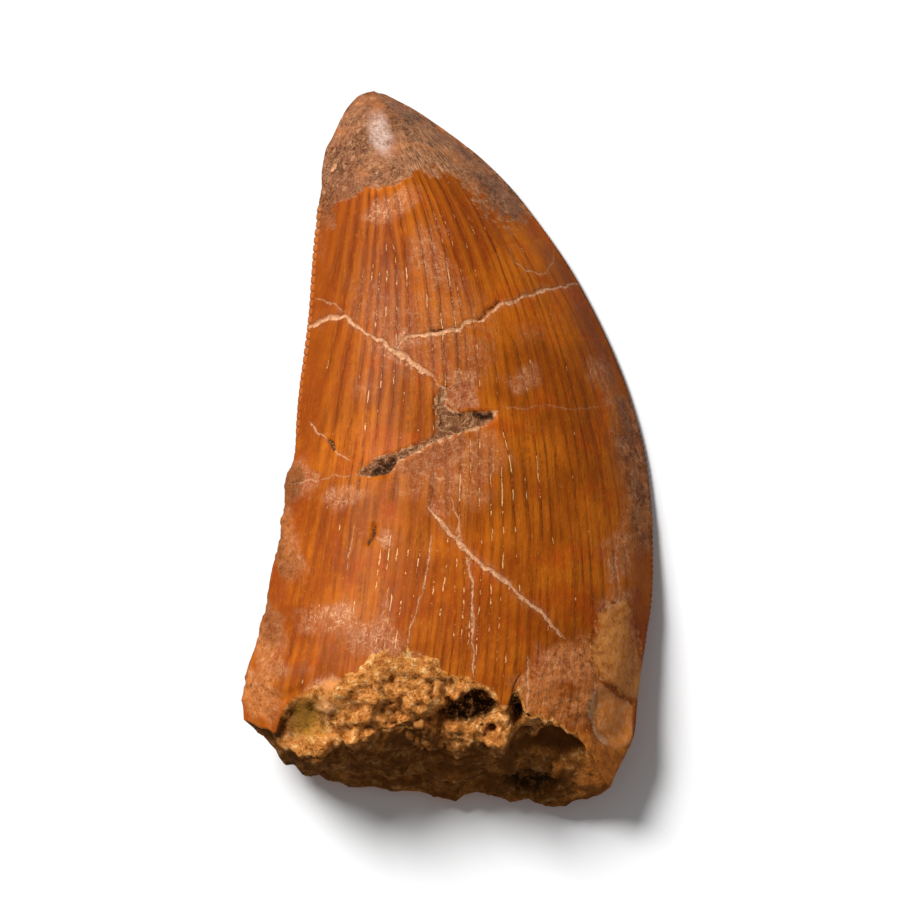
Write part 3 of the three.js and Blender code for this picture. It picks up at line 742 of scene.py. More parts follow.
def wrinkle_marks(x, y, q, marks):
    """Marks the fine wrinkles where nothing smooths them away, and returns their shallow grooves.

    A wrinkle shows only where its angle changes fast enough across the tooth.
    """
    calm = 1
    for name, share in CALMED.items():
        calm = calm * (1 - share * marks[name])
    turn, clear = wrinkle_phase(flow_share(x, y), y)
    marks["wrinkle_cos"], marks["wrinkle_sin"] = np.cos(turn), np.sin(turn)
    beside = np.roll(turn, -1, axis=1) - turn
    gap = np.maximum(np.abs(np.roll(x, -1, axis=1) - x), LEAST_GAP)
    rate = np.hypot(np.cos(beside) - 1, np.sin(beside)) / gap
    marks["line_edge"] += np.cos(np.clip(rate * LINE_HALF, *LINE_TURN))
    calm = calm * clear * smoothstep(rate, *WRINKLE_RATE)
    marks["wrinkle"] += calm * smoothstep(np.minimum(q, 1 - q), *WRINKLE_EDGE)
    return WRINKLE_DEPTH * marks["wrinkle"] * smoothstep(marks["wrinkle_cos"], *WRINKLE_STEP)


def crown_marks(x, y, z, on_top, q, s, marks):
    """Lays the marks out on the crown and returns how deep each point is pressed in.

    The depth adds up gentle noise, the places, the cracks, the crumbs and the wrinkles.
    """
    wobbly = x + layered(x, y, z, *WOBBLE), y + layered(x + NOISE_APART, y, z, *WOBBLE)
    depth = layered(x, y, z, *SWELL) + layered(x, y, z, *RIPPLE)
    depth += place_marks(x, y, z, wobbly, on_top, s, marks)
    depth += crack_marks(x, y, z, wobbly, on_top, marks)
    depth += crumb_marks(x, y, z, on_top, s, marks)
    return depth + wrinkle_marks(x, y, q, marks)


def break_marks(p, inward, up, marks):
    """Lays the marks out on the break and returns how deep each point is pressed in.

    The depth adds up the smooth steps of the places, waves of noise, crumbs, and a bell-shaped trench
    where the fill lies lower than the skin.
    """
    x, y, z = p[..., 0], p[..., 1], p[..., 2]
    on_plane = plane_y(p)
    waves = sum(high * noise(x * rate, y * rate, z * rate) for high, rate in BREAK_WAVES)
    wobble = layered(x, y, z, *BREAK_WOBBLE)
    fold = FOLD_UP + MARK_FOLD[0], FOLD_UP + MARK_FOLD[1]
    smooth, depth = np.zeros(x.shape), np.zeros(x.shape)
    for cx, cy, rx, ry, deep, kind in BREAK_PLACES:
        firm, tears = (FIRM_HOLE, TEARS_HOLE) if kind == "hole" else (FIRM, TEARS)
        away = patch(x + tears * wobble, on_plane - tears * wobble, cx, cy, rx, ry)
        here = 1 - smoothstep(away, firm, PLACE_END)
        depth += deep * here
        if kind:
            marks[kind] = np.maximum(marks[kind], here)
        smooth = np.maximum(smooth, SMOOTH_KINDS.get(kind, 0) * here)
    lumps = crumbly(x, y, z, *BREAK_CRUMBS)
    depth -= BREAK_LUMPS * waves * blend(1, WAVES_LEFT, smooth)
    height = BREAK_GRAIN * blend(1, CRUMBS_LEFT, smooth) * blend(CRUMBS_LOW, 1, smoothstep(up, *fold))
    depth -= height * (lumps - CRUMBS_MIDDLE)
    trench = bell(inward - TRENCH_AT, TRENCH_HALF) * smoothstep(up, *TRENCH_UP)
    trench = trench * (1 - smoothstep(x, *TRENCH_OVER))
    depth += TRENCH * trench
    # Painted shade: in the valleys between the lumps, in the trench behind the rim and under the torn rim.
    rim_shade = (1 - smoothstep(inward, *DARK_RIM)) * smoothstep(x, *DARK_RIM_FROM)
    valleys = (1 - smoothstep(lumps, *VALLEY)) * (1 - smooth)
    marks["valley_shade"] += np.clip(valleys + trench + rim_shade, 0, 1)
    marks["break_face"] += 1
    # Painted shade on the low face of the break, which is turned from the lamp.
    marks["low_face"] += 1 - smoothstep(up + layered(x, y, z, *LOW_FRAY), *fold)
    return depth * smoothstep(inward, 0, FACE_CALM)


def tooth_surface():
    """The grid with all its relief, and the marks at each of its points.

    The crown is pressed in along its normals, and the break at a slope that goes over at the fold.
    """
    grid = base_grid()
    crown, face = grid["crown"], grid["face"]
    on_crown = {name: np.zeros(crown.shape[:2]) for name in MARKS}
    on_face = {name: np.zeros(face.shape[:2]) for name in MARKS}
    move, lift = saw_teeth(grid, on_crown)
    depth = crown_marks(crown[..., 0], plane_y(crown), crown[..., 2], grid["upper"], grid["q"], grid["s"],
                        on_crown)
    normal = surface_normals(np.concatenate([crown, face]))[:ROWS]
    crown = crown - normal * (depth * (1 - smoothstep(grid["s"], RIM_CALM, 1)))[..., None]
    crown[..., :2] += move
    crown[..., 2] += lift
    depth = break_marks(face, grid["inward"], grid["up"], on_face)
    over = smoothstep(grid["up"], FOLD_UP + PRESS_FOLD[0], FOLD_UP + PRESS_FOLD[1])
    slope = blend(PRESS_LOW, PRESS_LIT, over)
    face = face + np.stack([depth * 0, depth * np.cos(slope), -depth * np.sin(slope)], axis=-1)
    points = np.concatenate([crown, face])
    points[..., 2] = np.maximum(points[..., 2], 0)
    marks = {name: np.concatenate([on_crown[name], on_face[name]]) for name in MARKS}
    return points, marks, grid


def closed_mesh(name, points, marks, grid):
    """Mesh of the grid, closed by a fan at the apex and one at the hub of the break.

    Its map lays the way across the wrinkles along u and the length along v.
    """
    rows, columns = points.shape[:2]
    apex, hub = points[0].mean(axis=0), points[-1].mean(axis=0)
    places = (np.vstack([apex, points.reshape(-1, 3), hub]) + [0, MIDDLE, 0]) * MM
    number = 1 + np.arange(rows * columns).reshape(rows, columns)
    after = np.roll(number, -1, axis=1)
    quads = np.stack([number[:-1], number[1:], after[1:], after[:-1]], axis=-1).reshape(-1, 4)
    first = np.stack([np.zeros(columns, int), number[0], after[0]], axis=-1)
    last = np.stack([number[-1], np.full(columns, len(places) - 1), after[-1]], axis=-1)
    mesh = bpy.data.meshes.new(name)
    mesh.from_pydata(places.tolist(), [], first.tolist() + quads.tolist() + last.tolist())
    mesh.polygons.foreach_set("use_smooth", np.ones(len(mesh.polygons), bool))

    across = FLOW_WIDTH * flow_share(points[..., 0], plane_y(points))
    across = np.where(grid["upper"], across, UNDER_FLOW - across)
    flow = np.stack([across, -plane_y(points)], axis=-1)
    flow = np.vstack([flow[0].mean(axis=0), flow.reshape(-1, 2), flow[-1].mean(axis=0)])
    corners = np.zeros(len(mesh.loops), int)
    mesh.loops.foreach_get("vertex_index", corners)
    mesh.uv_layers.new(name="flow").data.foreach_set("uv", flow[corners].astype(np.float32).ravel())
    for mark, values in marks.items():
        whole = np.r_[values[0].mean(), values.ravel(), values[-1].mean()]
        mesh.attributes.new(mark, "FLOAT", "POINT").data.foreach_set("value", whole.astype(np.float32))
    mesh.validate()
    return mesh


# Colours as red, green and blue out of 255. Some paint light and shade: the pale polish colour and the
# light colour of the dashes are painted highlights, the low colour is painted shade, the hole colour is
# dark matrix with painted shade, and the dark grain colour is both dark grains and painted shade.
COLOURS = {
    "enamel": (182, 93, 14), "enamel_deep": (138, 62, 4), "enamel_light": (210, 118, 24),
    "enamel_red": (168, 62, 8), "line_dark": (100, 46, 6), "dash_highlight": (244, 192, 132),
    "cream": (226, 172, 126), "thread": (230, 174, 128), "haze": (186, 126, 92), "tip": (134, 84, 56),
    "tip_dark": (76, 44, 26), "tip_light": (206, 154, 112), "polish_and_highlight": (212, 186, 172),
    "chip": (132, 84, 52), "chip_dark": (42, 24, 12), "chip_light": (200, 152, 112),
    "red": (160, 78, 40), "red_light": (198, 128, 86), "dark_edge": (178, 100, 46),
    "dark_deep": (88, 42, 16), "yellow": (238, 154, 64), "yellow_deep": (208, 124, 44),
    "facet": (226, 134, 56), "facet_light": (240, 164, 104), "margin": (198, 114, 52),
    "margin_dark": (84, 42, 20), "shoulder": (184, 120, 76), "cap": (214, 130, 66), "slot": (104, 52, 16),
    "sand": (222, 142, 68), "sand_light": (255, 200, 130), "sand_dark": (156, 88, 30),
    "dark_grain_and_shade": (76, 42, 14), "low": (112, 64, 20), "olive": (190, 136, 44), "hole": (36, 25, 9),
    "dentine": (92, 48, 8), "wall": (176, 102, 40), "pebble": (240, 168, 104), "floor": (240, 240, 240),
}


def linear(name):
    """The named colour as light: the sRGB curve undone."""
    share = [c / 255 for c in COLOURS[name]]
    return tuple(c / 12.92 if c <= 0.04045 else ((c + 0.055) / 1.055) ** 2.4 for c in share) + (1.0,)


class Shades:
    """Short calls that add the nodes of one material."""

    def __init__(self, name):
        self.material = bpy.data.materials.new(name)
        self.material.use_nodes = True
        self.tree = self.material.node_tree
        self.tree.nodes.clear()

    def set(self, node, socket, value):
        """Gives a socket a plain value, or links it to another node's output."""
        if isinstance(value, bpy.types.NodeSocket):
            self.tree.links.new(value, node.inputs[socket])
        else:
            node.inputs[socket].default_value = value

    def mark(self, name):
        node = self.tree.nodes.new("ShaderNodeAttribute")
        node.attribute_name = name
        return node.outputs["Fac"]

    def maths(self, operation, *values, clamp=False):
        node = self.tree.nodes.new("ShaderNodeMath")
        node.operation, node.use_clamp = operation, clamp
        for socket, value in enumerate(values):
            self.set(node, socket, value)
        return node.outputs[0]

    def times(self, *values):
        total = values[0]
        for value in values[1:]:
            total = self.maths("MULTIPLY", total, value)
        return total

    def without(self, value):
        return self.maths("SUBTRACT", 1.0, value, clamp=True)

    def step(self, value, low, high, to_low=0.0, to_high=1.0):
        """Eases from to_low to to_high while the value goes from low to high."""
        node = self.tree.nodes.new("ShaderNodeMapRange")
        node.interpolation_type = "SMOOTHSTEP"
        for socket, number in zip(range(5), (value, low, high, to_low, to_high)):
            self.set(node, socket, number)
        return node.outputs[0]

    def mix(self, share, first, second):
        node = self.tree.nodes.new("ShaderNodeMix")
        node.data_type = "RGBA"
        for socket, value in ((0, share), (6, first), (7, second)):
            self.set(node, socket, linear(value) if isinstance(value, str) else value)
        return node.outputs[2]

    def scaled(self, place, across, along, up=1.0):
        node = self.tree.nodes.new("ShaderNodeVectorMath")
        node.operation = "MULTIPLY"
        self.set(node, 0, place)
        self.set(node, 1, (across, along, up))
        return node.outputs[0]

    def grain(self, place, scale, layers, rough, bend=0.0):
        """Noise from 0 to 1 about 0.5."""
        node = self.tree.nodes.new("ShaderNodeTexNoise")
        self.set(node, "Vector", place)
        for socket, value in (("Scale", scale), ("Detail", layers), ("Roughness", rough),
                              ("Distortion", bend)):
            self.set(node, socket, value)
        return node.outputs["Fac"]

    def threads(self, place, width):
        """Winding threads: where noise passes through its middle value."""
        off = self.maths("ABSOLUTE", self.maths("SUBTRACT", self.grain(place, 1, *THREAD_NOISE), 0.5))
        return self.step(off, width, THREAD_CORE * width)

    def added(self, base, value, factor, clamp=False):
        """A base plus a value times a factor."""
        return self.maths("MULTIPLY_ADD", value, factor, base, clamp=clamp)

    def frayed(self, value, grain, amount):
        """A value that goes up and down by a grain's distance from its middle."""
        return self.added(value, self.maths("SUBTRACT", grain, 0.5), amount)

    def product(self, g, parts):
        """Product of shares by name, each eased where numbers follow its name."""
        return self.times(*(self.step(g[name], *numbers) if numbers else g[name]
                            for name, *numbers in parts))

    def coats(self, colour, g, rows):
        """Lays coats over a colour, one after the other, as the rows say."""
        for names, *numbers, coat in rows:
            if isinstance(coat, list):
                coat = self.coats(coat[0], g, coat[1:])
            name, *masks = names.split(" in ")
            share = self.step(g[name], *numbers) if len(numbers) == 4 else self.times(g[name], *numbers)
            colour = self.mix(self.times(share, *(g[mask] for mask in masks)), colour, coat)
        return colour

    def surface(self, values):
        """Ends the material in one shader with these sockets set."""
        shader = self.tree.nodes.new("ShaderNodeBsdfPrincipled")
        for socket, value in values.items():
            self.set(shader, socket, value)
        out = self.tree.nodes.new("ShaderNodeOutputMaterial")
        self.set(out, "Surface", shader.outputs[0])


# Depth of the finest relief. Winding threads: layers and roughness of their noise, and sharp share.
RELIEF, THREAD_NOISE, THREAD_CORE = 0.035, (3, 0.65), 0.2

# Grains that the colours are broken up with, from broad clouds to dust: scale, layers, roughness, bend.
GRAINS = {
    "broad": (0.13, 2, 0.55, 0), "clouds": (0.3, 3, 0.55, 0.5), "blotch": (0.7, 4, 0.62, 0),
    "fine": (2, 5, 0.7, 0), "dust": (6, 3, 0.7, 0),
}
# Grains drawn out along the wrinkles: scale across and along, layers, roughness, bend.
FLOW_GRAINS = {
    "bands": (0.55, 0.05, 3, 0.6, 0.5), "streaks": (2.1, 0.26, 4, 0.7, 0.4),
    "fuzz": (5.2, 1.2, 4, 0.72, 0.3), "runs": (1.5, 0.06, 3, 0.6, 0), "pieces": (1.7, 0.55, 4, 0.75, 0),
    "sway": (0.7, 0.35, 4, 0.65, 0),
}
# Winding threads: scales of the three axes, width. The hairs follow the wrinkles.
THREADS = {"threads": (0.9, 0.9, 0.9, 0.03), "lace": (2.2, 2.2, 2.2, 0.06), "arcs": (2.2, 0.8, 1, 0.03)}
HAIRS, HAIR_WIDTH = (0.8, 0.03), 0.04
FIBRES, FIBRE_GRAIN = (3.2, 1.1, 1.1), (4, 0.7, 0.6)
LACE_IN_WEB, LACE_IN_GAPS = 0.6, 0.7

# Marks whose outlines are frayed by grains: new name, mark, grains and how much each frays it.
FRAYED = {
    "ragged_tip": ("tip", ("fine", 1.5), ("blotch", 1.2)), "ragged_yellow": ("yellow", ("blotch", 2)),
    "ragged_chip": ("chip", ("fine", 2.2)), "ragged_crumbs": ("crumbs", ("fine", 1.4)),
    "ragged_crack": ("crack_side", ("fine", 3.4), ("dust", 2.4)),
}
# Shares made of others, multiplied: each one's name, and where it starts and is full, and between which
# strengths, if it is eased. The rims are where a mark has started and isn't full yet.
SHARES = {
    # The cream specks are painted glints.
    "painted_glints": [("dust", 0.62, 0.74)],
    "hazy": [("haze",), ("fuzz", 0.36, 0.6, 0.3, 1), ("blotch", 0.3, 0.55, 0.3, 1)],
    "scratched": [("haze",), ("scratches",)],
    # A pale crackle of painted highlight on the polished spot.
    "crackled_highlight": [("polish_and_highlight",), ("fine", 0.34, 0.52, 0.25, 1), ("gaps",)],
    "glazed": [("yellow",), ("ragged_yellow", 0.3, 0.9)],
    "tip_rim": [("tip",), ("ragged_tip", 0.38, 0.46), ("ragged_tip", 0.62, 0.5)],
    "yellow_rim": [("yellow", 0.05, 0.35), ("yellow", 0.85, 0.45)],
    "facet_rim": [("facet", 0.1, 0.4), ("facet", 0.95, 0.6)],
    "chip_rim": [("chip", 0.02, 0.25), ("chip", 0.95, 0.7)],
    "filled": [("crack_near",), ("crack_pale",)],
    "crack_core": [("off_crack", 1.5, 0.5), ("filled",)],
    "open_line": [("dark_line", 0.3, 0.8)],
    "sandy_rim": [("ragged_crumbs", 0.4, 0.7)],
}

# Wrinkle lines: most sway, in radians, and least length of the cosine and sine. For the painted light on
# the ridges and the painted shade in the valleys beside the lines, the cosine they start at, and their
# strength. Fours are a grain where the strength starts and is full, and the strengths before and after.
# The boldness goes with the way down.
SWAY, LEAST_LENGTH = 2.6, 0.2
RIDGE_FROM, RIDGE_SHARE = -0.4, 0.25
VALLEY_FROM, VALLEY_SHARE = 0.1, (0.4, 0.6, 0.05, 0.16)
FADE, HAIR_SHARE = 0.8, (0.4, 0.6, 0.05, 0.5)
BOLD_BY_LENGTH = (-8, 12, 0.78, 0.55)
LINE_RUNS, LINE_GAPS = (0.4, 0.58, 0.15, 1), (0.36, 0.54, 0.3, 1)
# Cream dashes, painted highlights on the wrinkles: turn from the dark line, the grain they start at, less
# where dashed, softness, strength.
DASH_TURN, DASH_FROM, DASHED_MORE, DASH_EDGE, DASH_SHARE = 0.4, 0.62, 0.12, 0.05, (0.4, 0.8, 0, 0.85)

# Coats of colour, laid on in the order given: place, where it starts and is full, strength before and
# after, colour. Without the four numbers in the middle, the place is itself the share. "fine in cap" is
# the fine grain where the cap is. The colour is a name, or a base with coats of its own.
ENAMEL = [
    ("broad", 0.38, 0.62, 0, 1, "enamel"), ("clouds", 0.5, 0.66, 0, 0.6, "enamel_red"),
    ("deep", 0.9, "enamel_deep"), ("deep", 0.5, "enamel_red"), ("deep", 0.34, "line_dark"),
]
# Light and deep side of each grain of the enamel: strengths.
VEINS = [("bands", 0.2, 0.25), ("streaks", 0.2, 0.45), ("fuzz", 0.3, 0.55), ("blotch", 0.15, 0.2),
         ("fine", 0.25, 0.3)]
VEIN_LIGHT, VEIN_DEEP = (0.52, 0.72), (0.47, 0.29)
# The cream specks, here and on the tip, are painted glints.
WORN = [
    ("painted_glints", 0.12, "cream"), ("dust", 0.38, 0.26, 0, 0.4, "line_dark"),
    ("dust in hazy", 0.36, 0.6, 0.4, 0.8, "haze"), ("fine in scratched", 0.4, 0.6, 0.1, 0.7, "thread"),
    ("blotch in rough", 0.32, 0.5, 0.5, 0.92, [
        "margin_dark", ("fine", 0.34, 0.48, 0.3, 1, "margin"), ("fine", 0.53, 0.65, 0, 0.6, "cream"),
        ("web", 0.2, "cream"), ("blotch", 0.44, 0.32, 0, 0.5, "margin_dark"), ("deep", 0.5, "margin_dark"),
    ]),
    ("ragged_tip", 0.4, 0.7, 0, 0.92, [
        "tip_dark", ("blotch", 0.38, 0.58, 0, 1, "tip"), ("clouds", 0.45, 0.62, 0, 0.45, "margin"),
        ("deep", 0.5, "tip_dark"), ("fine", 0.54, 0.68, 0, 0.6, "tip_light"),
        ("fine", 0.47, 0.34, 0, 0.6, "tip_dark"), ("fuzz in scored", 0.48, 0.62, 0, 0.9, "tip_light"),
        ("fuzz in scored", 0.45, 0.34, 0, 0.5, "tip_dark"), ("web", 0.35, "tip_light"),
        # The pale crackle on the polished spot is a painted highlight.
        ("painted_glints", 0.5, "cream"), ("crackled_highlight", 0.8, "polish_and_highlight"),
    ]),
    ("fine in tip_rim", 0.46, 0.58, 0, 0.6, "cream"),
    ("blotch in dark_edge", 0.3, 0.5, 0.4, 0.95, [
        "dark_deep", ("blotch", 0.4, 0.6, 0, 1, "dark_edge"), ("fine", 0.44, 0.32, 0, 0.5, "dark_deep"),
        ("clouds in web", 0.4, 0.6, 0.3, 0.8, "cream"),
    ]),
    ("fine in glazed", 0.34, 0.54, 0.3, 0.8, [
        "yellow_deep", ("blotch", 0.4, 0.6, 0, 1, "yellow"), ("fine", 0.46, 0.3, 0, 0.5, "enamel_deep"),
        ("web", 0.4, "cream"), ("dust", 0.5, 0.68, 0, 0.5, "thread"),
    ]),
    ("fine in yellow_rim", 0.5, 0.42, 0, 0.6, "dark_deep"),
    ("fine in yellow_rim", 0.56, 0.64, 0, 0.7, "cream"),
    ("facet", 0.85, ["facet", ("fine", 0.42, 0.66, 0, 1, "facet_light")]),
    ("fine in facet_rim", 0.36, 0.5, 0, 0.25, "thread"),
    ("blotch in red", 0.3, 0.5, 0.5, 0.9, [
        "red", ("fine", 0.4, 0.62, 0, 1, "red_light"), ("web", 0.25, "thread"),
    ]),
    ("ragged_chip", 0.3, 0.65, 0, 0.95, [
        "chip_dark", ("blotch", 0.3, 0.46, 0.1, 1, "chip"), ("fibres", 0.46, 0.34, 0, 0.6, "chip_dark"),
        ("fibres", 0.52, 0.7, 0, 0.7, "chip_light"), ("threads", 0.7, "chip_light"),
    ]),
    ("fine in chip_rim", 0.46, 0.6, 0.05, 0.6, "thread"),
    ("shoulder", 0.85, ["sand", ("fine", 0.4, 0.6, 0, 1, "shoulder")]),
    ("wall", 0.8, ["facet", ("fine", 0.4, 0.6, 0, 1, "wall")]),
    # The strip behind the saw edges is partly the enamel's own darker band and partly painted shade on the
    # rear edge, which faces the lamp.
    ("saw_band", 0.6, "enamel_deep"), ("cap", 0.2, 0.7, 0, 0.35, "cap"), ("slot", 0.2, 0.6, 0, 0.3, "slot"),
]
# Cracks: a dark brown rim of painted shade, a flaky pale core, and hairlines with a dark bottom.
CRACKED = [
    ("off_crack in filled", 2.4, 1.2, 0, 0.4, "line_dark"),
    ("fine in crack_core", 0.36, 0.58, 0.35, 0.9, ["haze", ("dust", 0.34, 0.54, 0, 1, "thread")]),
    ("dust in open_line", 0.62, 0.5, 0.3, 0.9, "chip_dark"),
]
# The break: sandy crumbs with painted shade in their valleys, open holes, smooth dentine at the right, and
# painted shade on the low face.
BROKEN = [
    "sand_dark", ("fine", 0.34, 0.52, 0, 1, "sand"), ("fine", 0.52, 0.66, 0, 1, "sand_light"),
    ("blotch", 0.46, 0.3, 0, 0.7, "sand_dark"), ("dust", 0.44, 0.34, 0, 0.6, "dark_grain_and_shade"),
    ("blotch in sand", 0.3, 0.5, 0.3, 0.85, "olive"), ("valley_shade", 0.7, "dark_grain_and_shade"),
    ("dentine", 0.9, ["dentine", ("fine", 0.4, 0.7, 0, 1, "sand_dark")]),
    ("blotch in low_face", 0.64, 0.44, 0.45, 0.9, "low"),
    ("wall", 0.85, ["sand_dark", ("fine", 0.38, 0.62, 0, 1, "wall")]), ("pebble", 0.9, "pebble"),
    # The holes are dark matrix with painted shade in them.
    ("fine in hole", 0.6, 0.5, 0.1, 0.94, "hole"),
]

# Roughness by blotches, and what it gains on haze and where it is dull.
GLOSS, HAZE_DULLS, DULLS, BOWL_SHINE = (0.3, 0.7, 0.5, 0.62), 0.15, 0.3, 0.6
# Fine relief: what a grain is worth on sound skin and what grit adds to it, and the depth of a line.
PORES, COARSE, GRITTY_ROUGH, LINE_CUT, VALLEY_CUT = (0.8, 3.0), (0.5, 9.0), 0.6, -1.2, 0.5
IOR, SPECULAR, COAT, POLISH_COAT, COAT_ROUGHNESS = 1.5, 0.06, 0.02, 0.7, 0.28


def add_grains(a, g, place, flow):
    """Adds the grains and threads to the shares that the coats use."""
    for name, (scale, *values) in GRAINS.items():
        g[name] = a.grain(place, scale, *values)
    for name, (across, along, *values) in FLOW_GRAINS.items():
        g[name] = a.grain(a.scaled(flow, across, along), 1, *values)
    for name, (*scales, width) in THREADS.items():
        g[name] = a.threads(a.scaled(place, *scales), width)
    g["hairs"] = a.threads(a.scaled(flow, *HAIRS), HAIR_WIDTH)
    g["fibres"] = a.grain(a.scaled(place, *FIBRES), 1, *FIBRE_GRAIN)
    g["web"] = a.maths("MAXIMUM", g["threads"], a.times(g["lace"], LACE_IN_WEB))
    g["gaps"] = a.without(a.times(g["lace"], LACE_IN_GAPS))
    g["scratches"] = a.maths("MAXIMUM", g["threads"], g["arcs"])


def add_places(a, g):
    """Adds the frayed marks and the shares made of others."""
    for name, (mark, *grains) in FRAYED.items():
        g[name] = g[mark]
        for grain, amount in grains:
            g[name] = a.frayed(g[name], g[grain], amount)
    g["off_crack"] = a.maths("ABSOLUTE", g["ragged_crack"])
    for name, parts in SHARES.items():
        g[name] = a.product(g, parts)
    g["broken"] = a.maths("MAXIMUM", g["break_face"], g["sandy_rim"])


def wrinkle_peak(a, g, shift, low):
    """Share of a line where the wrinkle's cosine, turned on by the sway and a shift, comes near 1.

    The cosine and sine are divided by their length, because they shorten between the mesh's points.
    """
    turn = a.added(shift - SWAY / 2, g["sway"], SWAY)
    cosine = a.times(g["wrinkle_cos"], a.maths("COSINE", turn))
    sine = a.times(g["wrinkle_sin"], a.maths("SINE", turn))
    squares = a.maths("ADD", a.times(g["wrinkle_cos"], g["wrinkle_cos"]),
                      a.times(g["wrinkle_sin"], g["wrinkle_sin"]))
    length = a.maths("MAXIMUM", a.maths("SQRT", squares), LEAST_LENGTH)
    peak = a.maths("DIVIDE", a.maths("SUBTRACT", cosine, sine), length)
    return a.times(a.step(peak, low, 1), g["wrinkle"])


def enamel_colour(a, g, flow):
    """Honey-brown enamel: clouds, lengthwise bands and fibres, painted light on the wrinkle ridges and
    painted shade beside the lines, thin dark lines and cream dashes of painted highlight.

    The second result is the relief of the wrinkle lines.
    """
    colour = a.coats("enamel_deep", g, ENAMEL)
    for grain, light, deep in VEINS:
        colour = a.coats(colour, g, [(grain, *VEIN_LIGHT, 0, light, "enamel_light"),
                                     (grain, *VEIN_DEEP, 0, deep, "enamel_deep")])
    plain = a.added(1, g["faded"], -FADE)
    # Painted light on the wrinkle ridges, and painted shade in the valleys beside the dark lines.
    ridge_light = a.times(wrinkle_peak(a, g, math.pi, RIDGE_FROM), plain, RIDGE_SHARE)
    colour = a.mix(ridge_light, colour, "enamel_light")
    valley_shade = a.times(wrinkle_peak(a, g, 0, VALLEY_FROM), plain)
    colour = a.mix(a.times(valley_shade, a.step(g["runs"], *VALLEY_SHARE)), colour, "line_dark")
    hairs = a.times(g["hairs"], a.step(g["fine"], *HAIR_SHARE), g["wrinkle"])
    colour = a.mix(hairs, colour, "line_dark")
    along = a.tree.nodes.new("ShaderNodeSeparateXYZ")
    a.set(along, 0, flow)
    bold = a.times(a.step(along.outputs["Y"], *BOLD_BY_LENGTH), a.without(g["faded"]))
    line = a.times(wrinkle_peak(a, g, 0, g["line_edge"]), bold, a.step(g["runs"], *LINE_RUNS),
                   a.step(g["fine"], *LINE_GAPS))
    colour = a.mix(line, colour, "line_dark")
    # Cream dashes: painted highlights on the wrinkles.
    start = a.added(DASH_FROM, g["dashed"], -DASHED_MORE)
    lit = a.step(a.maths("SUBTRACT", g["pieces"], start), 0, DASH_EDGE)
    highlight_dash = a.times(wrinkle_peak(a, g, DASH_TURN, g["line_edge"]), lit)
    return a.mix(a.step(highlight_dash, *DASH_SHARE), colour, "dash_highlight"), a.added(line, valley_shade, VALLEY_CUT)


def fossil_enamel():
    """The tooth's one material: every colour is a coat laid on through the marks and the grains."""
    a = Shades("fossil enamel")
    coordinates = a.tree.nodes.new("ShaderNodeTexCoord")
    place = a.scaled(coordinates.outputs["Object"], 1 / MM, 1 / MM, 1 / MM)
    flow_map = a.tree.nodes.new("ShaderNodeUVMap")
    flow_map.uv_map = "flow"
    flow = flow_map.outputs["UV"]
    g = {name: a.mark(name) for name in MARKS}
    add_grains(a, g, place, flow)
    add_places(a, g)
    colour, lines = enamel_colour(a, g, flow)
    colour = a.coats(colour, g, WORN + CRACKED + [("broken", 1, BROKEN)])

    # Dull where it is sandy, chipped, rough or dusty.
    dull = a.maths("MAXIMUM", a.maths("MAXIMUM", g["chip"], g["spall"]), g["broken"])
    dull = a.times(dull, a.without(a.times(g["dentine"], BOWL_SHINE)))
    gloss = a.added(a.step(g["blotch"], *GLOSS), a.maths("MAXIMUM", g["hazy"], g["rough"]), HAZE_DULLS)
    gloss = a.added(gloss, dull, DULLS, clamp=True)

    # Fine relief under the size of the mesh: pores, scratches, grains and the wrinkle lines.
    grit = a.maths("MAXIMUM", dull, a.times(g["rough"], GRITTY_ROUGH))
    relief = a.times(a.maths("SUBTRACT", g["fuzz"], 0.5), a.without(dull))
    for grain, (plain, more) in (("dust", PORES), ("fine", COARSE)):
        height = a.times(a.maths("SUBTRACT", g[grain], 0.5), a.added(plain, grit, more))
        relief = a.maths("ADD", relief, height)
    bump = a.tree.nodes.new("ShaderNodeBump")
    a.set(bump, "Strength", 1.0)
    a.set(bump, "Distance", RELIEF * MM)
    a.set(bump, "Height", a.added(relief, lines, LINE_CUT))

    a.surface({
        "Base Color": colour, "Roughness": gloss, "IOR": IOR, "Specular IOR Level": SPECULAR,
        "Coat Weight": a.added(COAT, g["polish_and_highlight"], POLISH_COAT), "Coat Roughness": COAT_ROUGHNESS,
        "Normal": bump.outputs[0],
    })
    return a.material


def plain_white():
    a = Shades("plain white")
    a.surface({"Base Color": linear("floor"), "Roughness": 1.0, "Specular IOR Level": 0.0})
    return a.material


def add_object(name, data):
    thing = bpy.data.objects.new(name, data)
    bpy.context.scene.collection.objects.link(thing)
    return thing


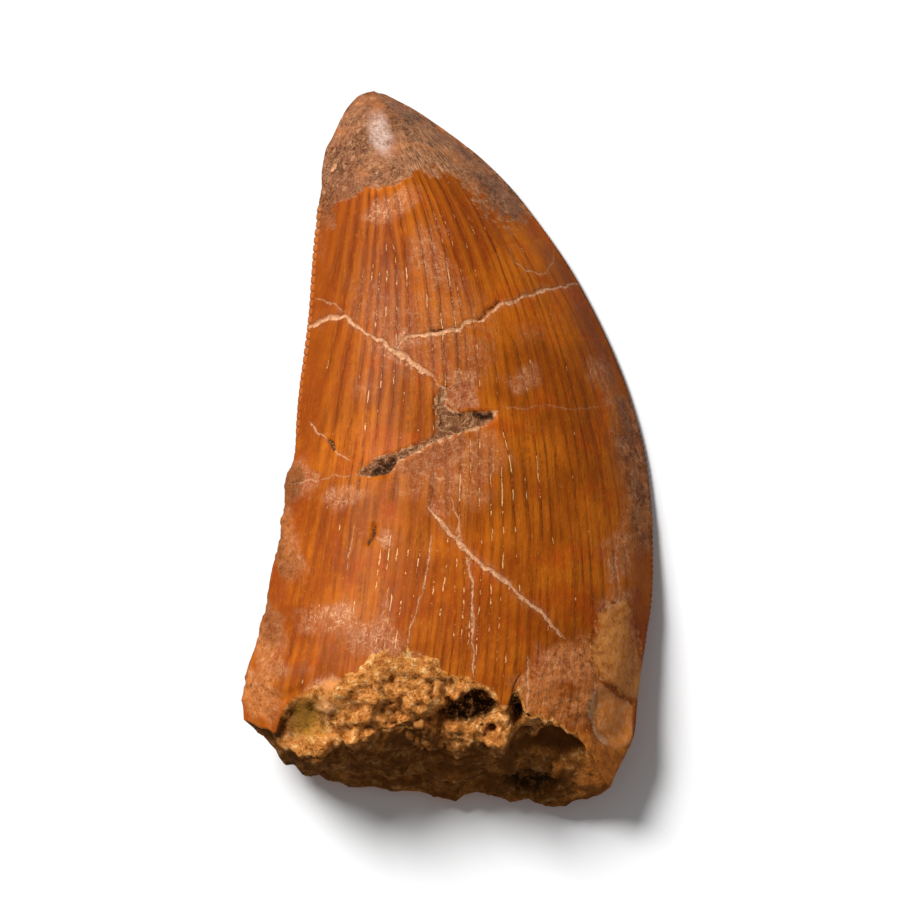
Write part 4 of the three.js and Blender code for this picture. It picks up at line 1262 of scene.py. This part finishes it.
def white_floor(half=2.0):
    mesh = bpy.data.meshes.new("floor")
    corners = [(-half, -half, 0), (half, -half, 0), (half, half, 0), (-half, half, 0)]
    mesh.from_pydata(corners, [], [(0, 1, 2, 3)])
    mesh.materials.append(plain_white())
    return add_object("floor", mesh)


def aim(thing, place, target):
    """Puts an object at a place and turns its -Z axis to the target."""
    thing.location = place
    thing.rotation_euler = (target - place).to_track_quat("-Z", "Y").to_euler()


def around_tooth(azimuth, elevation, distance):
    """A point seen from the tooth at an angle from +X and a height angle, both in degrees."""
    a, e = math.radians(azimuth), math.radians(elevation)
    return Vector((math.cos(a) * math.cos(e), math.sin(a) * math.cos(e), math.sin(e))) * distance


# Light: one soft lamp from the upper left and an even white fill.
KEY_FROM, KEY_HEIGHT, KEY_DISTANCE = 138, 49, 1.5
KEY_SIZE, KEY_WATTS = 0.64, 31.5
FILL = 0.24

# Camera: far off with a long lens, ten degrees from the vertical.
VIEW_FROM, VIEW_HEIGHT, VIEW_DISTANCE, VIEW_WIDTH, SENSOR = -90, 80, 2.0, 0.06795, 36.0
VIEW_CENTRE = (0.00015, MIDDLE * MM, 0)

points, marks, grid = tooth_surface()
tooth = add_object("tooth", closed_mesh("tooth", points, marks, grid))
tooth.data.materials.append(fossil_enamel())
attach(tooth, "root")
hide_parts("tooth")

floor = white_floor()
floor.visible_diffuse = False

lamp = bpy.data.lights.new("lamp", "AREA")
lamp.shape, lamp.size, lamp.energy = "DISK", KEY_SIZE, KEY_WATTS
aim(add_object("lamp", lamp), around_tooth(KEY_FROM, KEY_HEIGHT, KEY_DISTANCE), Vector((0, 0, 0)))

scene = bpy.context.scene
scene.world = bpy.data.worlds.new("fill")
scene.world.use_nodes = True
scene.world.node_tree.nodes["Background"].inputs["Color"].default_value = (1, 1, 1, 1)
scene.world.node_tree.nodes["Background"].inputs["Strength"].default_value = FILL
scene.view_settings.view_transform = "Standard"

lens = bpy.data.cameras.new("camera")
lens.sensor_width, lens.lens = SENSOR, SENSOR * VIEW_DISTANCE / VIEW_WIDTH
camera = add_object("camera", lens)
aim(camera, Vector(VIEW_CENTRE) + around_tooth(VIEW_FROM, VIEW_HEIGHT, VIEW_DISTANCE), Vector(VIEW_CENTRE))
scene.camera = camera
